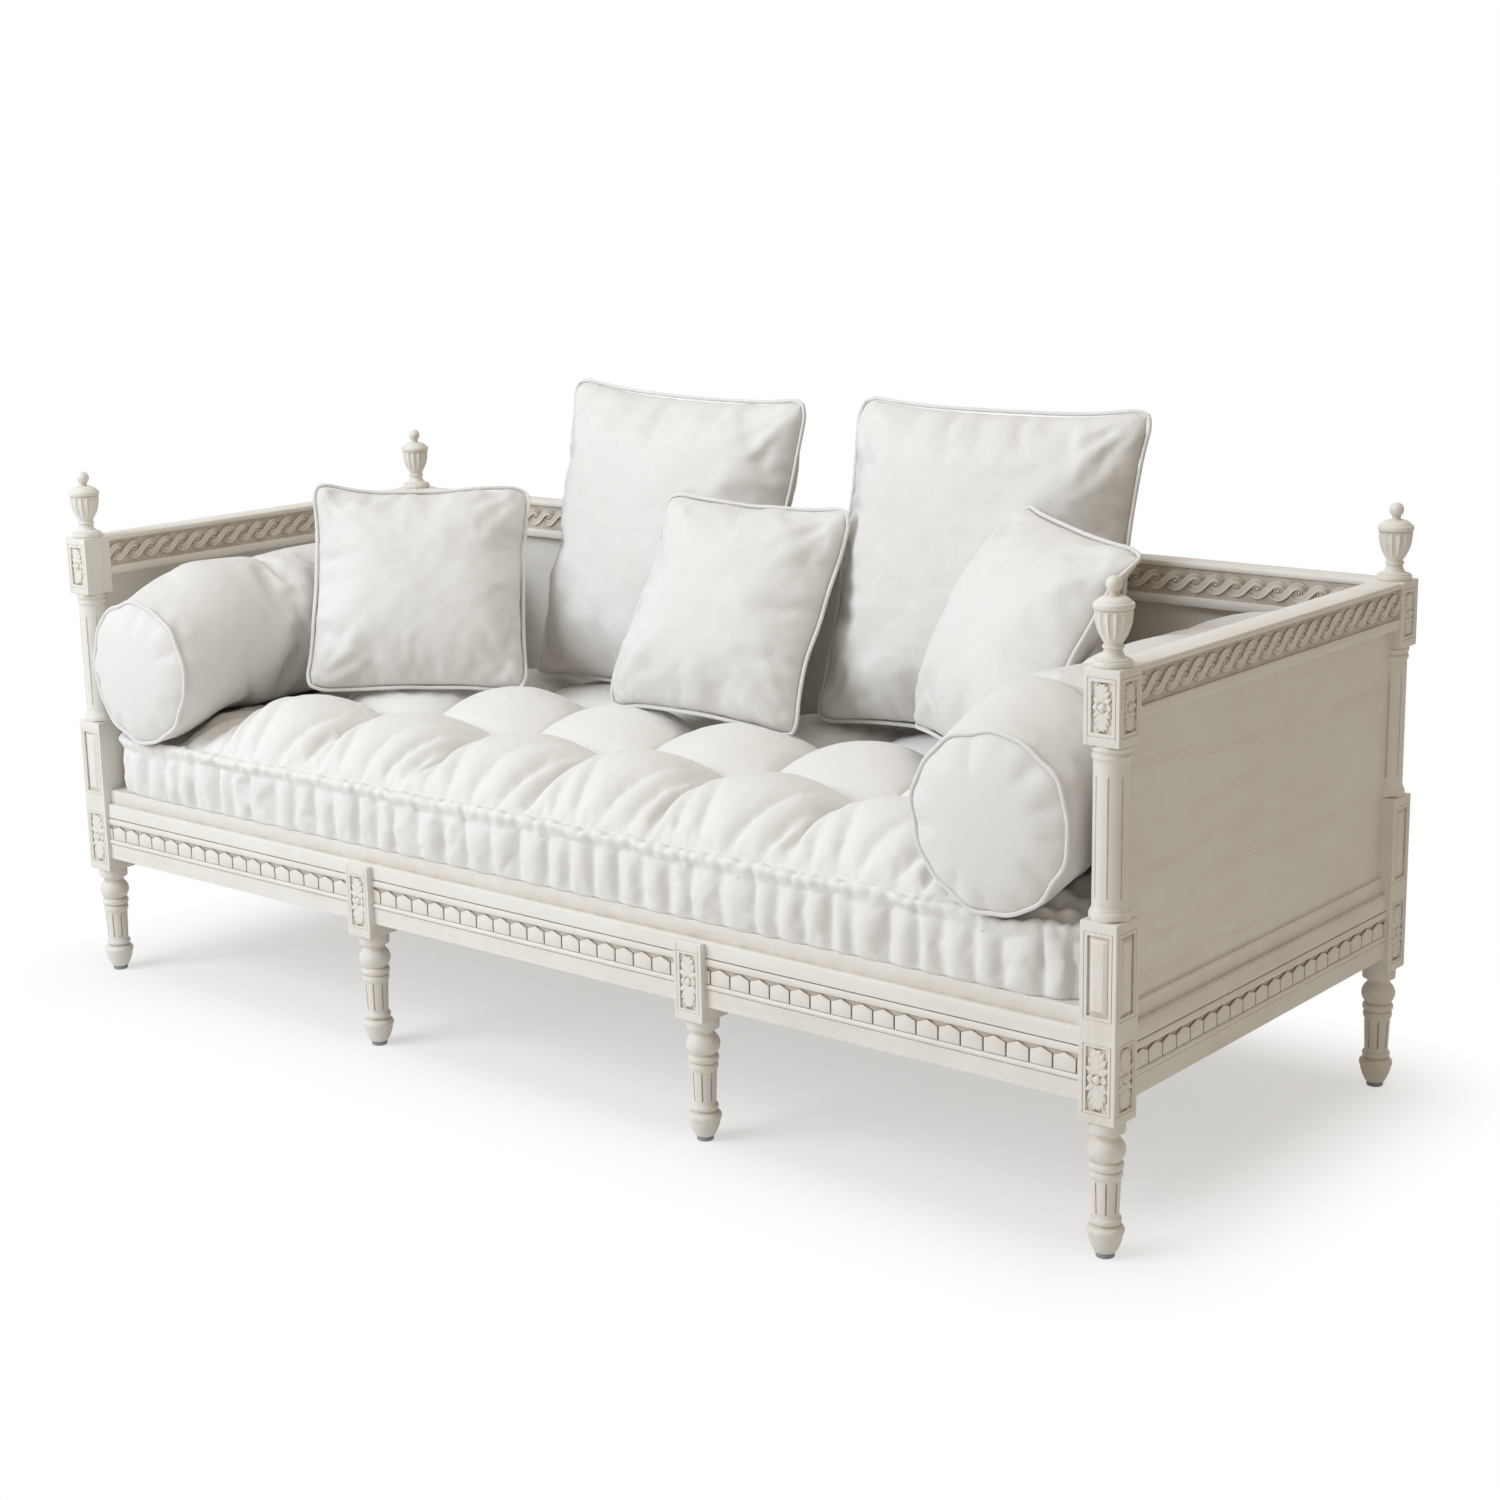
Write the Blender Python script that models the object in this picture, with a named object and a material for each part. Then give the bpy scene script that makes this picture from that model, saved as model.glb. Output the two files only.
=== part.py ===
"""Carved and painted daybed sofa with a tufted mattress, loose pillows and bolsters.

Metres, +Z up, front along -Y, origin on the floor under the middle of the frame.
"""

import math

import bmesh
import bpy
from mathutils import Matrix, Vector
from mathutils.bvhtree import BVHTree

# Clearances
GAP = 0.0003
CUT = 0.002

# Plan
SPAN_X = 2.096
SPAN_Y = 0.794
MID_LEG_X = 0.355

# Posts
LOW_BLOCK = 0.0556
LOW_BLOCK_H = 0.273
TOP_BLOCK = 0.0534
TOP_BLOCK_H = 0.0995
COLUMN_D = 0.048
COLUMN_H = 0.230
COLUMN_BASE_D = 0.055
COLUMN_BASE_H = 0.015
COLUMN_CAP_D = 0.0525
COLUMN_CAP_H = 0.016
COLUMN_COVE = 0.005
COLUMN_SIDES = 16
FLUTE_DEPTH = 0.0032
FLUTE_STOP = 0.012
FLUTE_RUN = 0.006

# Carved faces of the blocks
FIELD_MARGIN = 0.0115
FIELD_DEPTH = 0.003
ROSETTE_FOOT = 0.0165
ROSETTE_H = 0.088
PANEL_HEAD = 0.019
PANEL_H = 0.108
PANEL_BORDER = 0.005
PANEL_BEVEL = 0.003
TOP_ROSETTE_H = 0.066
LEAF_CLEAR = 0.003
LEAF_NOTCH = 0.007
LEAF_FLANK = 0.5
BOSS_D = 0.013
BOSS_SIDES = 6
BOSS_PROUD = 0.0015

# Legs and glides
LEG_H = 0.193
LEG_SIDES = 12
LEG_COLLAR_D = 0.050
LEG_COLLAR_H = 0.016
LEG_NECK_D = 0.0348
LEG_NECK_H = 0.008
LEG_BULB_D = 0.0506
LEG_BULB_H = 0.032
LEG_GROOVE_D = 0.0405
LEG_RING_D = 0.0462
LEG_LOW_RING_D = 0.0434
LEG_RING_H = 0.012
LEG_SHAFT_TOP_D = 0.0397
LEG_SHAFT_LOW_D = 0.036
LEG_FLUTE_DEPTH = 0.0024
LEG_ANKLE_RING_D = 0.0422
LEG_ANKLE_RING_H = 0.014
LEG_ANKLE_D = 0.0375
LEG_FOOT_D = 0.048
LEG_FOOT_H = 0.040
LEG_FOOT_RISE = 0.029
LEG_TOE_D = 0.029
SPIGOT_D = 0.024
SPIGOT_H = 0.018
GLIDE_D = 0.0255
GLIDE_H = 0.0065
GLIDE_PIN_D = 0.008
GLIDE_PIN_H = 0.012

# Finials
FINIAL_BASE_D = 0.052
FINIAL_BASE_H = 0.0095
FINIAL_FLARE_H = 0.013
FINIAL_STEM_D = 0.025
FINIAL_STEM_H = 0.008
URN_D = 0.050
URN_FOOT_D = 0.0265
URN_H = 0.042
URN_BELLY = 0.003
LID_D = 0.0535
LID_H = 0.0155
KNOB_NECK_D = 0.013
KNOB_NECK_H = 0.005
KNOB_D = 0.0215
DOWEL_D = 0.012
DOWEL_H = 0.014

# Seat rails
RAIL_DROP = 0.0235
RAIL_T = 0.040
RAIL_RECESS = 0.007
FASCIA_H = 0.028
LEDGE_H = 0.008
LEDGE_OUT = 0.003
FRIEZE_H = 0.0275
FRIEZE_IN = 0.004
BEAD_H = 0.012
BEAD_OUT = 0.0015
BAND_H = 0.025
CAP_H = 0.025
CAP_IN = 0.008
TENON_T = 0.012
TENON_L = 0.019
RAIL_TENON_SHOULDER = 0.016
TABLET_PITCH = 0.0367
TABLET_SPACE = 0.0018
TABLET_SHOULDER_H = 0.0195
TABLET_H = 0.0255
TABLET_T = 0.0035
TABLET_SINK = 0.001

# Rosette blocks over the middle legs
MID_BLOCK_W = 0.053
MID_BLOCK_H = 0.1215
MID_PROUD = 0.004
MID_FIELD_FOOT = 0.0185
MID_FIELD_H = 0.084

# Top rails and panels
TOP_RAIL_T = 0.048
TOP_RAIL_H = 0.069
TOP_RAIL_DROP = 0.0005
TOP_FRIEZE_H = 0.042
TOP_FRIEZE_FOOT = 0.015
TOP_FRIEZE_IN = 0.003
TOP_RAIL_ROUND = 0.003
TOP_TENON_FOOT = 0.014
TOP_TENON_H = 0.034
PANEL_T = 0.014
GROOVE_D = 0.010
PANEL_SIDE_IN = 0.016

# Seat deck
CLEAT_W = 0.022
CLEAT_H = 0.030
CLEAT_END = 0.030
SLAT_W = 0.075
SLAT_T = 0.018
SLAT_EDGE = 0.003
SLAT_COUNT = 9
SLAT_END = 0.090

# Mattress
MATTRESS_SIDE_H = 0.108
MATTRESS_CROWN = 0.090
MATTRESS_CLEAR = 0.005
MATTRESS_FRONT_IN = 0.002
MATTRESS_ROLL = 0.012
MATTRESS_WAIST = 0.009
MATTRESS_CORNER = 0.014
PUFFS_X = 8
PUFFS_Y = 3
PUFF_STEPS = 4
CHANNEL_SHARE = 0.35
BOLSTER_PRESS = 0.050
PILLOW_PRESS = 0.045

# Pillows and bolsters
BIG_PILLOW = 0.560
BIG_PILLOW_T = 0.190
BIG_LEAN = 13.0
BIG_LEFT_X = -0.285
BIG_LEFT_YAW = -2.0
BIG_LEFT_SPIN = 1.5
BIG_RIGHT_X = 0.410
BIG_RIGHT_YAW = 4.0
BIG_RIGHT_SPIN = 0.5
SMALL_PILLOW = 0.400
SMALL_PILLOW_T = 0.135
SMALL_LEAN = 29.0
SMALL_LEFT_X = -0.610
SMALL_LEFT_Y = -0.020
SMALL_LEFT_YAW = 40.0
SMALL_LEFT_SPIN = 0.7
SMALL_MID_X = 0.005
SMALL_MID_Y = 0.050
SMALL_MID_YAW = 3.0
SMALL_MID_SPIN = 1.3
SMALL_RIGHT_BESIDE = 0.2715
SMALL_RIGHT_BEFORE = 0.361
SMALL_RIGHT_YAW = -30.0
SMALL_RIGHT_SPIN = 3.6
PILLOW_STEPS = 10
PILLOW_DRAW_IN = 0.055
PILLOW_FULLNESS = 0.5
PIPING_D = 0.009
BOLSTER_D = 0.260
BOLSTER_CAP_D = 0.250
BOLSTER_L = 0.770
BOLSTER_SQUASH = 0.98
BOLSTER_DOME = 0.022
BOLSTER_DROOP = 0.040
BOLSTER_DROOP_L = 0.150
BOLSTER_BACK_CLEAR = 0.0288
BOLSTER_SIDE_CLEAR = 0.006
BOLSTER_SIDES = 16

# Heights and places that follow from the stack
LOW_TOP_Z = LEG_H + LOW_BLOCK_H
COLUMN_TOP_Z = LOW_TOP_Z + COLUMN_H
POST_TOP_Z = COLUMN_TOP_Z + TOP_BLOCK_H
RAIL_Z = LEG_H + RAIL_DROP
LEDGE_Z = RAIL_Z + FASCIA_H
FRIEZE_Z = LEDGE_Z + LEDGE_H
BEAD_Z = FRIEZE_Z + FRIEZE_H
BAND_Z = BEAD_Z + BEAD_H
CAP_Z = BAND_Z + BAND_H
SEAT_Z = CAP_Z + CAP_H
TOP_RAIL_Z = POST_TOP_Z - TOP_RAIL_DROP - TOP_RAIL_H
RAIL_FACE = LOW_BLOCK / 2 - RAIL_RECESS
BOLSTER_X = SPAN_X / 2 - COLUMN_BASE_D / 2 - BOLSTER_SIDE_CLEAR - BOLSTER_D / 2

PAINT = (0.760, 0.715, 0.635)
PANEL_PAINT = (0.640, 0.600, 0.525)
COTTON = (0.860, 0.845, 0.800)
TICKING = (0.880, 0.865, 0.815)
PINE = (0.560, 0.400, 0.240)
GLIDE_GREY = (0.300, 0.300, 0.300)


def finish(name, colour, roughness):
    """Returns a plain Principled material."""
    material = bpy.data.materials.new(name)
    material.use_nodes = True
    shader = material.node_tree.nodes["Principled BSDF"]
    shader.inputs["Base Color"].default_value = (*colour, 1.0)
    shader.inputs["Roughness"].default_value = roughness
    shader.inputs["Metallic"].default_value = 0.0
    return material


def add(name, bm, material, at=(0.0, 0.0, 0.0), turn=0.0, smooth=None):
    """Makes an object of a bmesh, placed at a point and turned about Z by degrees."""
    bmesh.ops.recalc_face_normals(bm, faces=bm.faces)
    mesh = bpy.data.meshes.new(name)
    bm.to_mesh(mesh)
    bm.free()
    if material:
        mesh.materials.append(material)
    if smooth:
        mesh.shade_smooth()
        mesh.set_sharp_from_angle(angle=math.radians(smooth))
    item = bpy.data.objects.new(name, mesh)
    bpy.context.collection.objects.link(item)
    item.location = at
    item.rotation_euler = (0.0, 0.0, math.radians(turn))
    return item


def combine(item, bm, operation):
    """Joins a bmesh to an object, or cuts it out, and keeps the result as its mesh."""
    tool = add("tool", bm, None)
    tool.location = item.location
    tool.rotation_euler = item.rotation_euler
    modifier = item.modifiers.new("combine", "BOOLEAN")
    modifier.operation = operation
    modifier.solver = "EXACT"
    modifier.object = tool
    graph = bpy.context.evaluated_depsgraph_get()
    old = item.data
    made = bpy.data.meshes.new_from_object(item.evaluated_get(graph))
    item.modifiers.clear()
    made.name = old.name
    item.data = made
    bpy.data.meshes.remove(old)
    bpy.data.objects.remove(tool)


def block(bm, low, high):
    """Adds a box between two corners."""
    low, high = Vector(low), Vector(high)
    size = [abs(b - a) for a, b in zip(low, high)]
    place = Matrix.Translation((low + high) / 2) @ Matrix.Diagonal((*size, 1.0))
    bmesh.ops.create_cube(bm, size=1.0, matrix=place)


def turned(bm, profile, sides):
    """Adds a turned solid from (height, radius, flute depth) stations, lowest first."""
    rings = []
    for z, radius, flute in profile:
        ring = []
        for i in range(sides):
            angle = math.tau * (i + 0.5) / sides
            reach = radius - flute * (i % 2)
            ring.append(bm.verts.new((reach * math.cos(angle), reach * math.sin(angle), z)))
        rings.append(ring)
    for low, high in zip(rings, rings[1:]):
        for i in range(sides):
            j = (i + 1) % sides
            bm.faces.new((low[i], low[j], high[j], high[i]))
    bm.faces.new(rings[0][::-1])
    bm.faces.new(rings[-1])


def prism(bm, outline, start, end, place):
    """Adds an outline of (u, v) points swept from start to end; place turns (u, v, w) into a point."""
    ends = [[bm.verts.new(place(u, v, w)) for u, v in outline] for w in (start, end)]
    count = len(outline)
    bm.faces.new(ends[0][::-1])
    bm.faces.new(ends[1])
    for i in range(count):
        j = (i + 1) % count
        bm.faces.new((ends[0][i], ends[0][j], ends[1][j], ends[1][i]))


def face_frame(axis, sign):
    """Returns a function that takes (across, height, outward) on a block's face to a local point."""
    if axis == "x":
        return lambda u, v, w: (sign * w, u, v)
    return lambda u, v, w: (u, sign * w, v)


def leaf_outline(half_w, half_h):
    """Outline of a four-leaf flower: long leaves up and down, short ones to the sides."""
    points = []
    for k in range(4):
        middle = math.pi / 2 * k
        reach = half_w if k % 2 == 0 else half_h
        flank = min(half_w, half_h) * LEAF_FLANK
        along = Vector((math.cos(middle), math.sin(middle)))
        aside = Vector((-along.y, along.x))
        points.append(tuple(along * reach - aside * flank))
        points.append(tuple(along * reach + aside * flank))
        notch = middle + math.pi / 4
        points.append((LEAF_NOTCH * math.cos(notch), LEAF_NOTCH * math.sin(notch)))
    return points


def rosette_tools(faces):
    """Returns sunk fields, leaves and bosses for faces of (frame, face reach, half width, foot, height)."""
    fields, leaves, bosses = bmesh.new(), bmesh.new(), bmesh.new()
    for frame, reach, half_w, foot, height in faces:
        middle = foot + height / 2
        floor = reach - FIELD_DEPTH
        corners = [(-half_w, foot), (half_w, foot), (half_w, foot + height), (-half_w, foot + height)]
        prism(fields, corners, floor, reach + CUT, frame)
        outline = leaf_outline(half_w - LEAF_CLEAR, height / 2 - LEAF_CLEAR)
        outline = [(u, v + middle) for u, v in outline]
        prism(leaves, outline, floor - TABLET_SINK, reach - FIELD_DEPTH / 4, frame)
        turns = [math.tau * i / BOSS_SIDES for i in range(BOSS_SIDES)]
        ring = [(BOSS_D / 2 * math.cos(a), middle + BOSS_D / 2 * math.sin(a)) for a in turns]
        prism(bosses, ring, floor - TABLET_SINK / 2, reach + BOSS_PROUD, frame)
    return fields, leaves, bosses


def column_profile():
    """Stations of the turned column, sunk a little into both blocks."""
    base = LOW_TOP_Z + COLUMN_BASE_H
    cap = COLUMN_TOP_Z - COLUMN_CAP_H
    shaft, flute = COLUMN_D / 2, FLUTE_DEPTH
    low = base + COLUMN_COVE + FLUTE_STOP
    high = cap - COLUMN_COVE - FLUTE_STOP
    return [
        (LOW_TOP_Z - CUT, COLUMN_BASE_D / 2, 0.0),
        (base, COLUMN_BASE_D / 2, 0.0),
        (base + COLUMN_COVE, shaft, 0.0),
        (low, shaft, 0.0),
        (low + FLUTE_RUN, shaft, flute),
        (high - FLUTE_RUN, shaft, flute),
        (high, shaft, 0.0),
        (cap - COLUMN_COVE, shaft, 0.0),
        (cap, COLUMN_CAP_D / 2, 0.0),
        (COLUMN_TOP_Z + CUT, COLUMN_CAP_D / 2, 0.0),
    ]


def post(name, sx, sy, material):
    """A corner post: carved lower block, fluted column and carved top block, with its mortises."""
    low, top = LOW_BLOCK / 2, TOP_BLOCK / 2
    bm = bmesh.new()
    block(bm, (-low, -low, LEG_H), (low, low, LOW_TOP_Z))
    item = add(name, bm, material, at=(sx * SPAN_X / 2, sy * SPAN_Y / 2, 0.0))
    bm = bmesh.new()
    turned(bm, column_profile(), COLUMN_SIDES)
    combine(item, bm, "UNION")
    bm = bmesh.new()
    block(bm, (-top, -top, COLUMN_TOP_Z), (top, top, POST_TOP_Z))
    combine(item, bm, "UNION")

    frames = [face_frame("x", sx), face_frame("y", sy)]
    top_foot = (COLUMN_TOP_Z + POST_TOP_Z - TOP_ROSETTE_H) / 2
    panel_foot = LOW_TOP_Z - PANEL_HEAD - PANEL_H
    faces = []
    for frame in frames:
        faces.append((frame, low, low - FIELD_MARGIN, LEG_H + ROSETTE_FOOT, ROSETTE_H))
        faces.append((frame, top, top - FIELD_MARGIN, top_foot, TOP_ROSETTE_H))
    fields, leaves, bosses = rosette_tools(faces)
    half_w = low - FIELD_MARGIN
    raised = bmesh.new()
    for frame in frames:
        corners = [(-half_w, 0.0), (half_w, 0.0), (half_w, PANEL_H), (-half_w, PANEL_H)]
        prism(fields, [(u, v + panel_foot) for u, v in corners], low - FIELD_DEPTH, low + CUT, frame)
        outer = half_w - PANEL_BORDER
        inner = outer - PANEL_BEVEL
        floor = low - FIELD_DEPTH - TABLET_SINK
        rings = []
        for half, edge, w in ((outer, PANEL_BORDER, floor), (outer, PANEL_BORDER, low - FIELD_DEPTH * 0.8),
                              (inner, PANEL_BORDER + PANEL_BEVEL, low)):
            points = ((-half, edge), (half, edge), (half, PANEL_H - edge), (-half, PANEL_H - edge))
            rings.append([raised.verts.new(frame(u, v + panel_foot, w)) for u, v in points])
        for a, b in zip(rings, rings[1:]):
            for i in range(4):
                raised.faces.new((a[i], a[(i + 1) % 4], b[(i + 1) % 4], b[i]))
        raised.faces.new(rings[0][::-1])
        raised.faces.new(rings[-1])
    combine(item, fields, "DIFFERENCE")
    combine(item, leaves, "UNION")
    combine(item, bosses, "UNION")
    combine(item, raised, "UNION")

    cuts = bmesh.new()
    inner_faces = [("y", -sy, True), ("x", -sx, sy > 0)]
    for axis, sign, has_panel in inner_faces:
        frame = face_frame(axis, sign)
        mortise(cuts, frame, low, TENON_T, RAIL_Z + RAIL_TENON_SHOULDER, CAP_Z - RAIL_TENON_SHOULDER / 2)
        if has_panel:
            foot = TOP_RAIL_Z + TOP_TENON_FOOT
            mortise(cuts, frame, top, TENON_T, foot, foot + TOP_TENON_H)
            half = PANEL_T / 2 + GAP
            slot = [(-half, SEAT_Z - GROOVE_D), (half, SEAT_Z - GROOVE_D),
                    (half, TOP_RAIL_Z + GROOVE_D), (-half, TOP_RAIL_Z + GROOVE_D)]
            prism(cuts, slot, PANEL_SIDE_IN - GAP, low + CUT, frame)
    spigot_hole(cuts)
    dowel = DOWEL_D / 2 + GAP
    turned(cuts, [(POST_TOP_Z - DOWEL_H - GAP, dowel, 0.0), (POST_TOP_Z + CUT, dowel, 0.0)], LEG_SIDES)
    combine(item, cuts, "DIFFERENCE")
    return item


def mortise(bm, frame, reach, thick, foot, head):
    """Adds the cutter of a mortise that takes a tenon with clearance all round."""
    half = thick / 2 + GAP
    outline = [(-half, foot - GAP), (half, foot - GAP), (half, head + GAP), (-half, head + GAP)]
    prism(bm, outline, reach - TENON_L - GAP, reach + CUT, frame)


def spigot_hole(bm):
    """Adds the cutter of the hole in a block's foot that takes a leg's spigot."""
    hole = SPIGOT_D / 2 + GAP
    turned(bm, [(LEG_H - CUT, hole, 0.0), (LEG_H + SPIGOT_H + GAP, hole, 0.0)], LEG_SIDES)


def leg_profile():
    """Stations of a turned leg from the glide up to its spigot; the shaft takes what height is left."""
    foot = GLIDE_H + GAP
    ankle = foot + LEG_FOOT_H
    shaft_low = ankle + LEG_ANKLE_RING_H
    collar = LEG_H - GAP - LEG_COLLAR_H
    bulb_top = collar - LEG_NECK_H
    bulb_low = bulb_top - LEG_BULB_H
    ring_mid = bulb_low - LEG_RING_H
    shaft_top = ring_mid - LEG_RING_H
    return [
        (foot, LEG_TOE_D / 2, 0.0),
        (foot + LEG_FOOT_RISE, LEG_FOOT_D / 2, 0.0),
        (ankle, LEG_ANKLE_D / 2, 0.0),
        (ankle + LEG_ANKLE_RING_H / 2, LEG_ANKLE_RING_D / 2, 0.0),
        (shaft_low, LEG_SHAFT_LOW_D / 2, LEG_FLUTE_DEPTH),
        (shaft_top, LEG_SHAFT_TOP_D / 2, LEG_FLUTE_DEPTH),
        (shaft_top + LEG_RING_H / 2, LEG_LOW_RING_D / 2, 0.0),
        (ring_mid, LEG_GROOVE_D / 2, 0.0),
        (ring_mid + LEG_RING_H / 2, LEG_RING_D / 2, 0.0),
        (bulb_low, LEG_GROOVE_D / 2, 0.0),
        (bulb_low + LEG_BULB_H / 2, LEG_BULB_D / 2, 0.0),
        (bulb_top, LEG_NECK_D / 2, 0.0),
        (collar, LEG_COLLAR_D / 2, 0.0),
        (LEG_H - GAP, LEG_COLLAR_D / 2, 0.0),
        (LEG_H - GAP, SPIGOT_D / 2, 0.0),
        (LEG_H + SPIGOT_H, SPIGOT_D / 2, 0.0),
    ]


def leg(name, x, y, material):
    """A turned leg with a fluted shaft, a spigot on top and a pin hole for its glide."""
    bm = bmesh.new()
    turned(bm, leg_profile(), LEG_SIDES)
    item = add(name, bm, material, at=(x, y, 0.0), smooth=38)
    bm = bmesh.new()
    hole = GLIDE_PIN_D / 2 + GAP
    turned(bm, [(GLIDE_H - CUT, hole, 0.0), (GLIDE_H + GLIDE_PIN_H + 2 * GAP, hole, 0.0)], 8)
    combine(item, bm, "DIFFERENCE")
    return item


def glide(name, x, y, material):
    """A moulded glide: a domed disc with a pin that presses up into the leg."""
    bm = bmesh.new()
    disc, pin = GLIDE_D / 2, GLIDE_PIN_D / 2
    turned(bm, [(0.0, disc * 0.86, 0.0), (GLIDE_H * 0.35, disc, 0.0), (GLIDE_H, disc, 0.0),
                (GLIDE_H, pin, 0.0), (GLIDE_H + GLIDE_PIN_H, pin, 0.0)], 8)
    return add(name, bm, material, at=(x, y, 0.0), smooth=38)


def finial(name, sx, sy, material):
    """An urn finial: moulded base, stem, fluted urn, lid and knob, on a dowel."""
    base = POST_TOP_Z + GAP
    flare = base + FINIAL_BASE_H
    stem = flare + FINIAL_FLARE_H
    urn = stem + FINIAL_STEM_H
    lid = urn + URN_H
    neck = lid + LID_H
    knob = neck + KNOB_NECK_H
    ball = KNOB_D / 2
    profile = [
        (POST_TOP_Z - DOWEL_H, DOWEL_D / 2, 0.0),
        (base, DOWEL_D / 2, 0.0),
        (base, FINIAL_BASE_D / 2, 0.0),
        (base + FINIAL_BASE_H / 2, FINIAL_BASE_D / 2, 0.0),
        (flare, FINIAL_BASE_D / 2 * 0.84, 0.0),
        (stem, FINIAL_STEM_D / 2, 0.0),
        (urn, URN_FOOT_D / 2, 0.0),
        (urn + URN_H / 2, (URN_D + URN_FOOT_D) / 4 + URN_BELLY, FLUTE_DEPTH * 0.8),
        (lid, URN_D / 2, FLUTE_DEPTH * 0.6),
        (lid, LID_D / 2, 0.0),
        (lid + LID_H * 0.6, LID_D / 2, 0.0),
        (neck, KNOB_NECK_D / 2, 0.0),
        (knob - KNOB_NECK_H / 2, KNOB_NECK_D / 2, 0.0),
        (knob + ball * 0.3, ball * 0.86, 0.0),
        (knob + ball, ball, 0.0),
        (knob + ball * 1.7, ball * 0.72, 0.0),
        (knob + ball * 2.0, ball * 0.2, 0.0),
    ]
    bm = bmesh.new()
    turned(bm, profile, LEG_SIDES)
    return add(name, bm, material, at=(sx * SPAN_X / 2, sy * SPAN_Y / 2, 0.0), smooth=38)


def rail_outline(grow=0.0):
    """Section of a seat rail as (outward, height) from the post axis line, grown for a notch."""
    face = RAIL_FACE + grow
    back = RAIL_FACE - RAIL_T - grow
    return [
        (back, RAIL_Z - grow),
        (face, RAIL_Z - grow),
        (face, LEDGE_Z - grow),
        (face + LEDGE_OUT, LEDGE_Z + LEDGE_H / 4 - grow),
        (face + LEDGE_OUT, FRIEZE_Z + grow),
        (face - FRIEZE_IN, FRIEZE_Z + grow),
        (face - FRIEZE_IN, BEAD_Z - grow),
        (face + BEAD_OUT, BEAD_Z + BEAD_H / 4 - grow),
        (face + BEAD_OUT, BEAD_Z + BEAD_H * 0.75 + grow),
        (face, BAND_Z + grow),
        (face, CAP_Z + grow),
        (face - CAP_IN, CAP_Z + CAP_IN / 2 + grow),
        (face - CAP_IN, SEAT_Z + grow),
        (back, SEAT_Z + grow),
    ]


def along_x(u, v, w):
    """A section point (outward, height) at a length along X, on a side that faces -Y."""
    return (w, -u, v)


def tablets(bm, start, end):
    """Adds a row of pointed tablets, centred in the frieze between two lengths."""
    count = int((end - start) / TABLET_PITCH)
    first = (start + end - (count - 1) * TABLET_PITCH) / 2
    half = (TABLET_PITCH - TABLET_SPACE) / 2
    ground = RAIL_FACE - FRIEZE_IN
    foot = FRIEZE_Z - TABLET_SINK
    shoulder, tip = FRIEZE_Z + TABLET_SHOULDER_H, FRIEZE_Z + TABLET_H
    for i in range(count):
        x = first + i * TABLET_PITCH
        outline = [(x - half, foot), (x + half, foot), (x + half, shoulder), (x, tip), (x - half, shoulder)]
        prism(bm, outline, ground - TABLET_SINK, ground + TABLET_T, lambda u, v, w: (u, -w, v))


def seat_rail(name, length, offset, turn, stops, has_groove, material):
    """A seat rail between two blocks, with its tenons, tablet frieze and the groove for a panel."""
    half = length / 2 - GAP
    bm = bmesh.new()
    prism(bm, rail_outline(), -half, half, along_x)
    spin = Matrix.Rotation(math.radians(turn), 3, "Z")
    item = add(name, bm, material, at=spin @ Vector((0.0, -offset, 0.0)), turn=turn)
    bm = bmesh.new()
    for sign in (-1, 1):
        block(bm, (sign * (half - CUT), -TENON_T / 2, RAIL_Z + RAIL_TENON_SHOULDER),
              (sign * (half + TENON_L), TENON_T / 2, CAP_Z - RAIL_TENON_SHOULDER / 2))
    combine(item, bm, "UNION")
    bm = bmesh.new()
    edges = [-half] + stops + [half]
    for start, end in zip(edges[::2], edges[1::2]):
        tablets(bm, start, end)
    combine(item, bm, "UNION")
    if has_groove:
        bm = bmesh.new()
        groove = PANEL_T / 2 + GAP
        block(bm, (-half - CUT, -groove, SEAT_Z - GROOVE_D - GAP), (half + CUT, groove, SEAT_Z + CUT))
        combine(item, bm, "DIFFERENCE")
    return item


def mid_block(name, x, sy, material):
    """A rosette block over a middle leg: notched round the rail, with a sunk flower in front."""
    front = LOW_BLOCK / 2 + MID_PROUD
    back = -LOW_BLOCK / 2
    core = RAIL_FACE - FRIEZE_IN - CUT
    half = MID_BLOCK_W / 2
    head = LEG_H + MID_BLOCK_H
    outline = [(back, LEG_H), (front, LEG_H), (front, head), (core, head), (core, RAIL_Z), (back, RAIL_Z)]
    turn = 0.0 if sy < 0 else 180.0
    bm = bmesh.new()
    prism(bm, outline, -half, half, along_x)
    item = add(name, bm, material, at=(x, sy * SPAN_Y / 2, 0.0), turn=turn)
    bm = bmesh.new()
    prism(bm, rail_outline(GAP), -half - CUT, half + CUT, along_x)
    combine(item, bm, "DIFFERENCE")
    frame = face_frame("y", -1)
    face = (frame, front, half - FIELD_MARGIN, LEG_H + MID_FIELD_FOOT, MID_FIELD_H)
    fields, leaves, bosses = rosette_tools([face])
    combine(item, fields, "DIFFERENCE")
    combine(item, leaves, "UNION")
    combine(item, bosses, "UNION")
    bm = bmesh.new()
    spigot_hole(bm)
    combine(item, bm, "DIFFERENCE")
    return item


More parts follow.
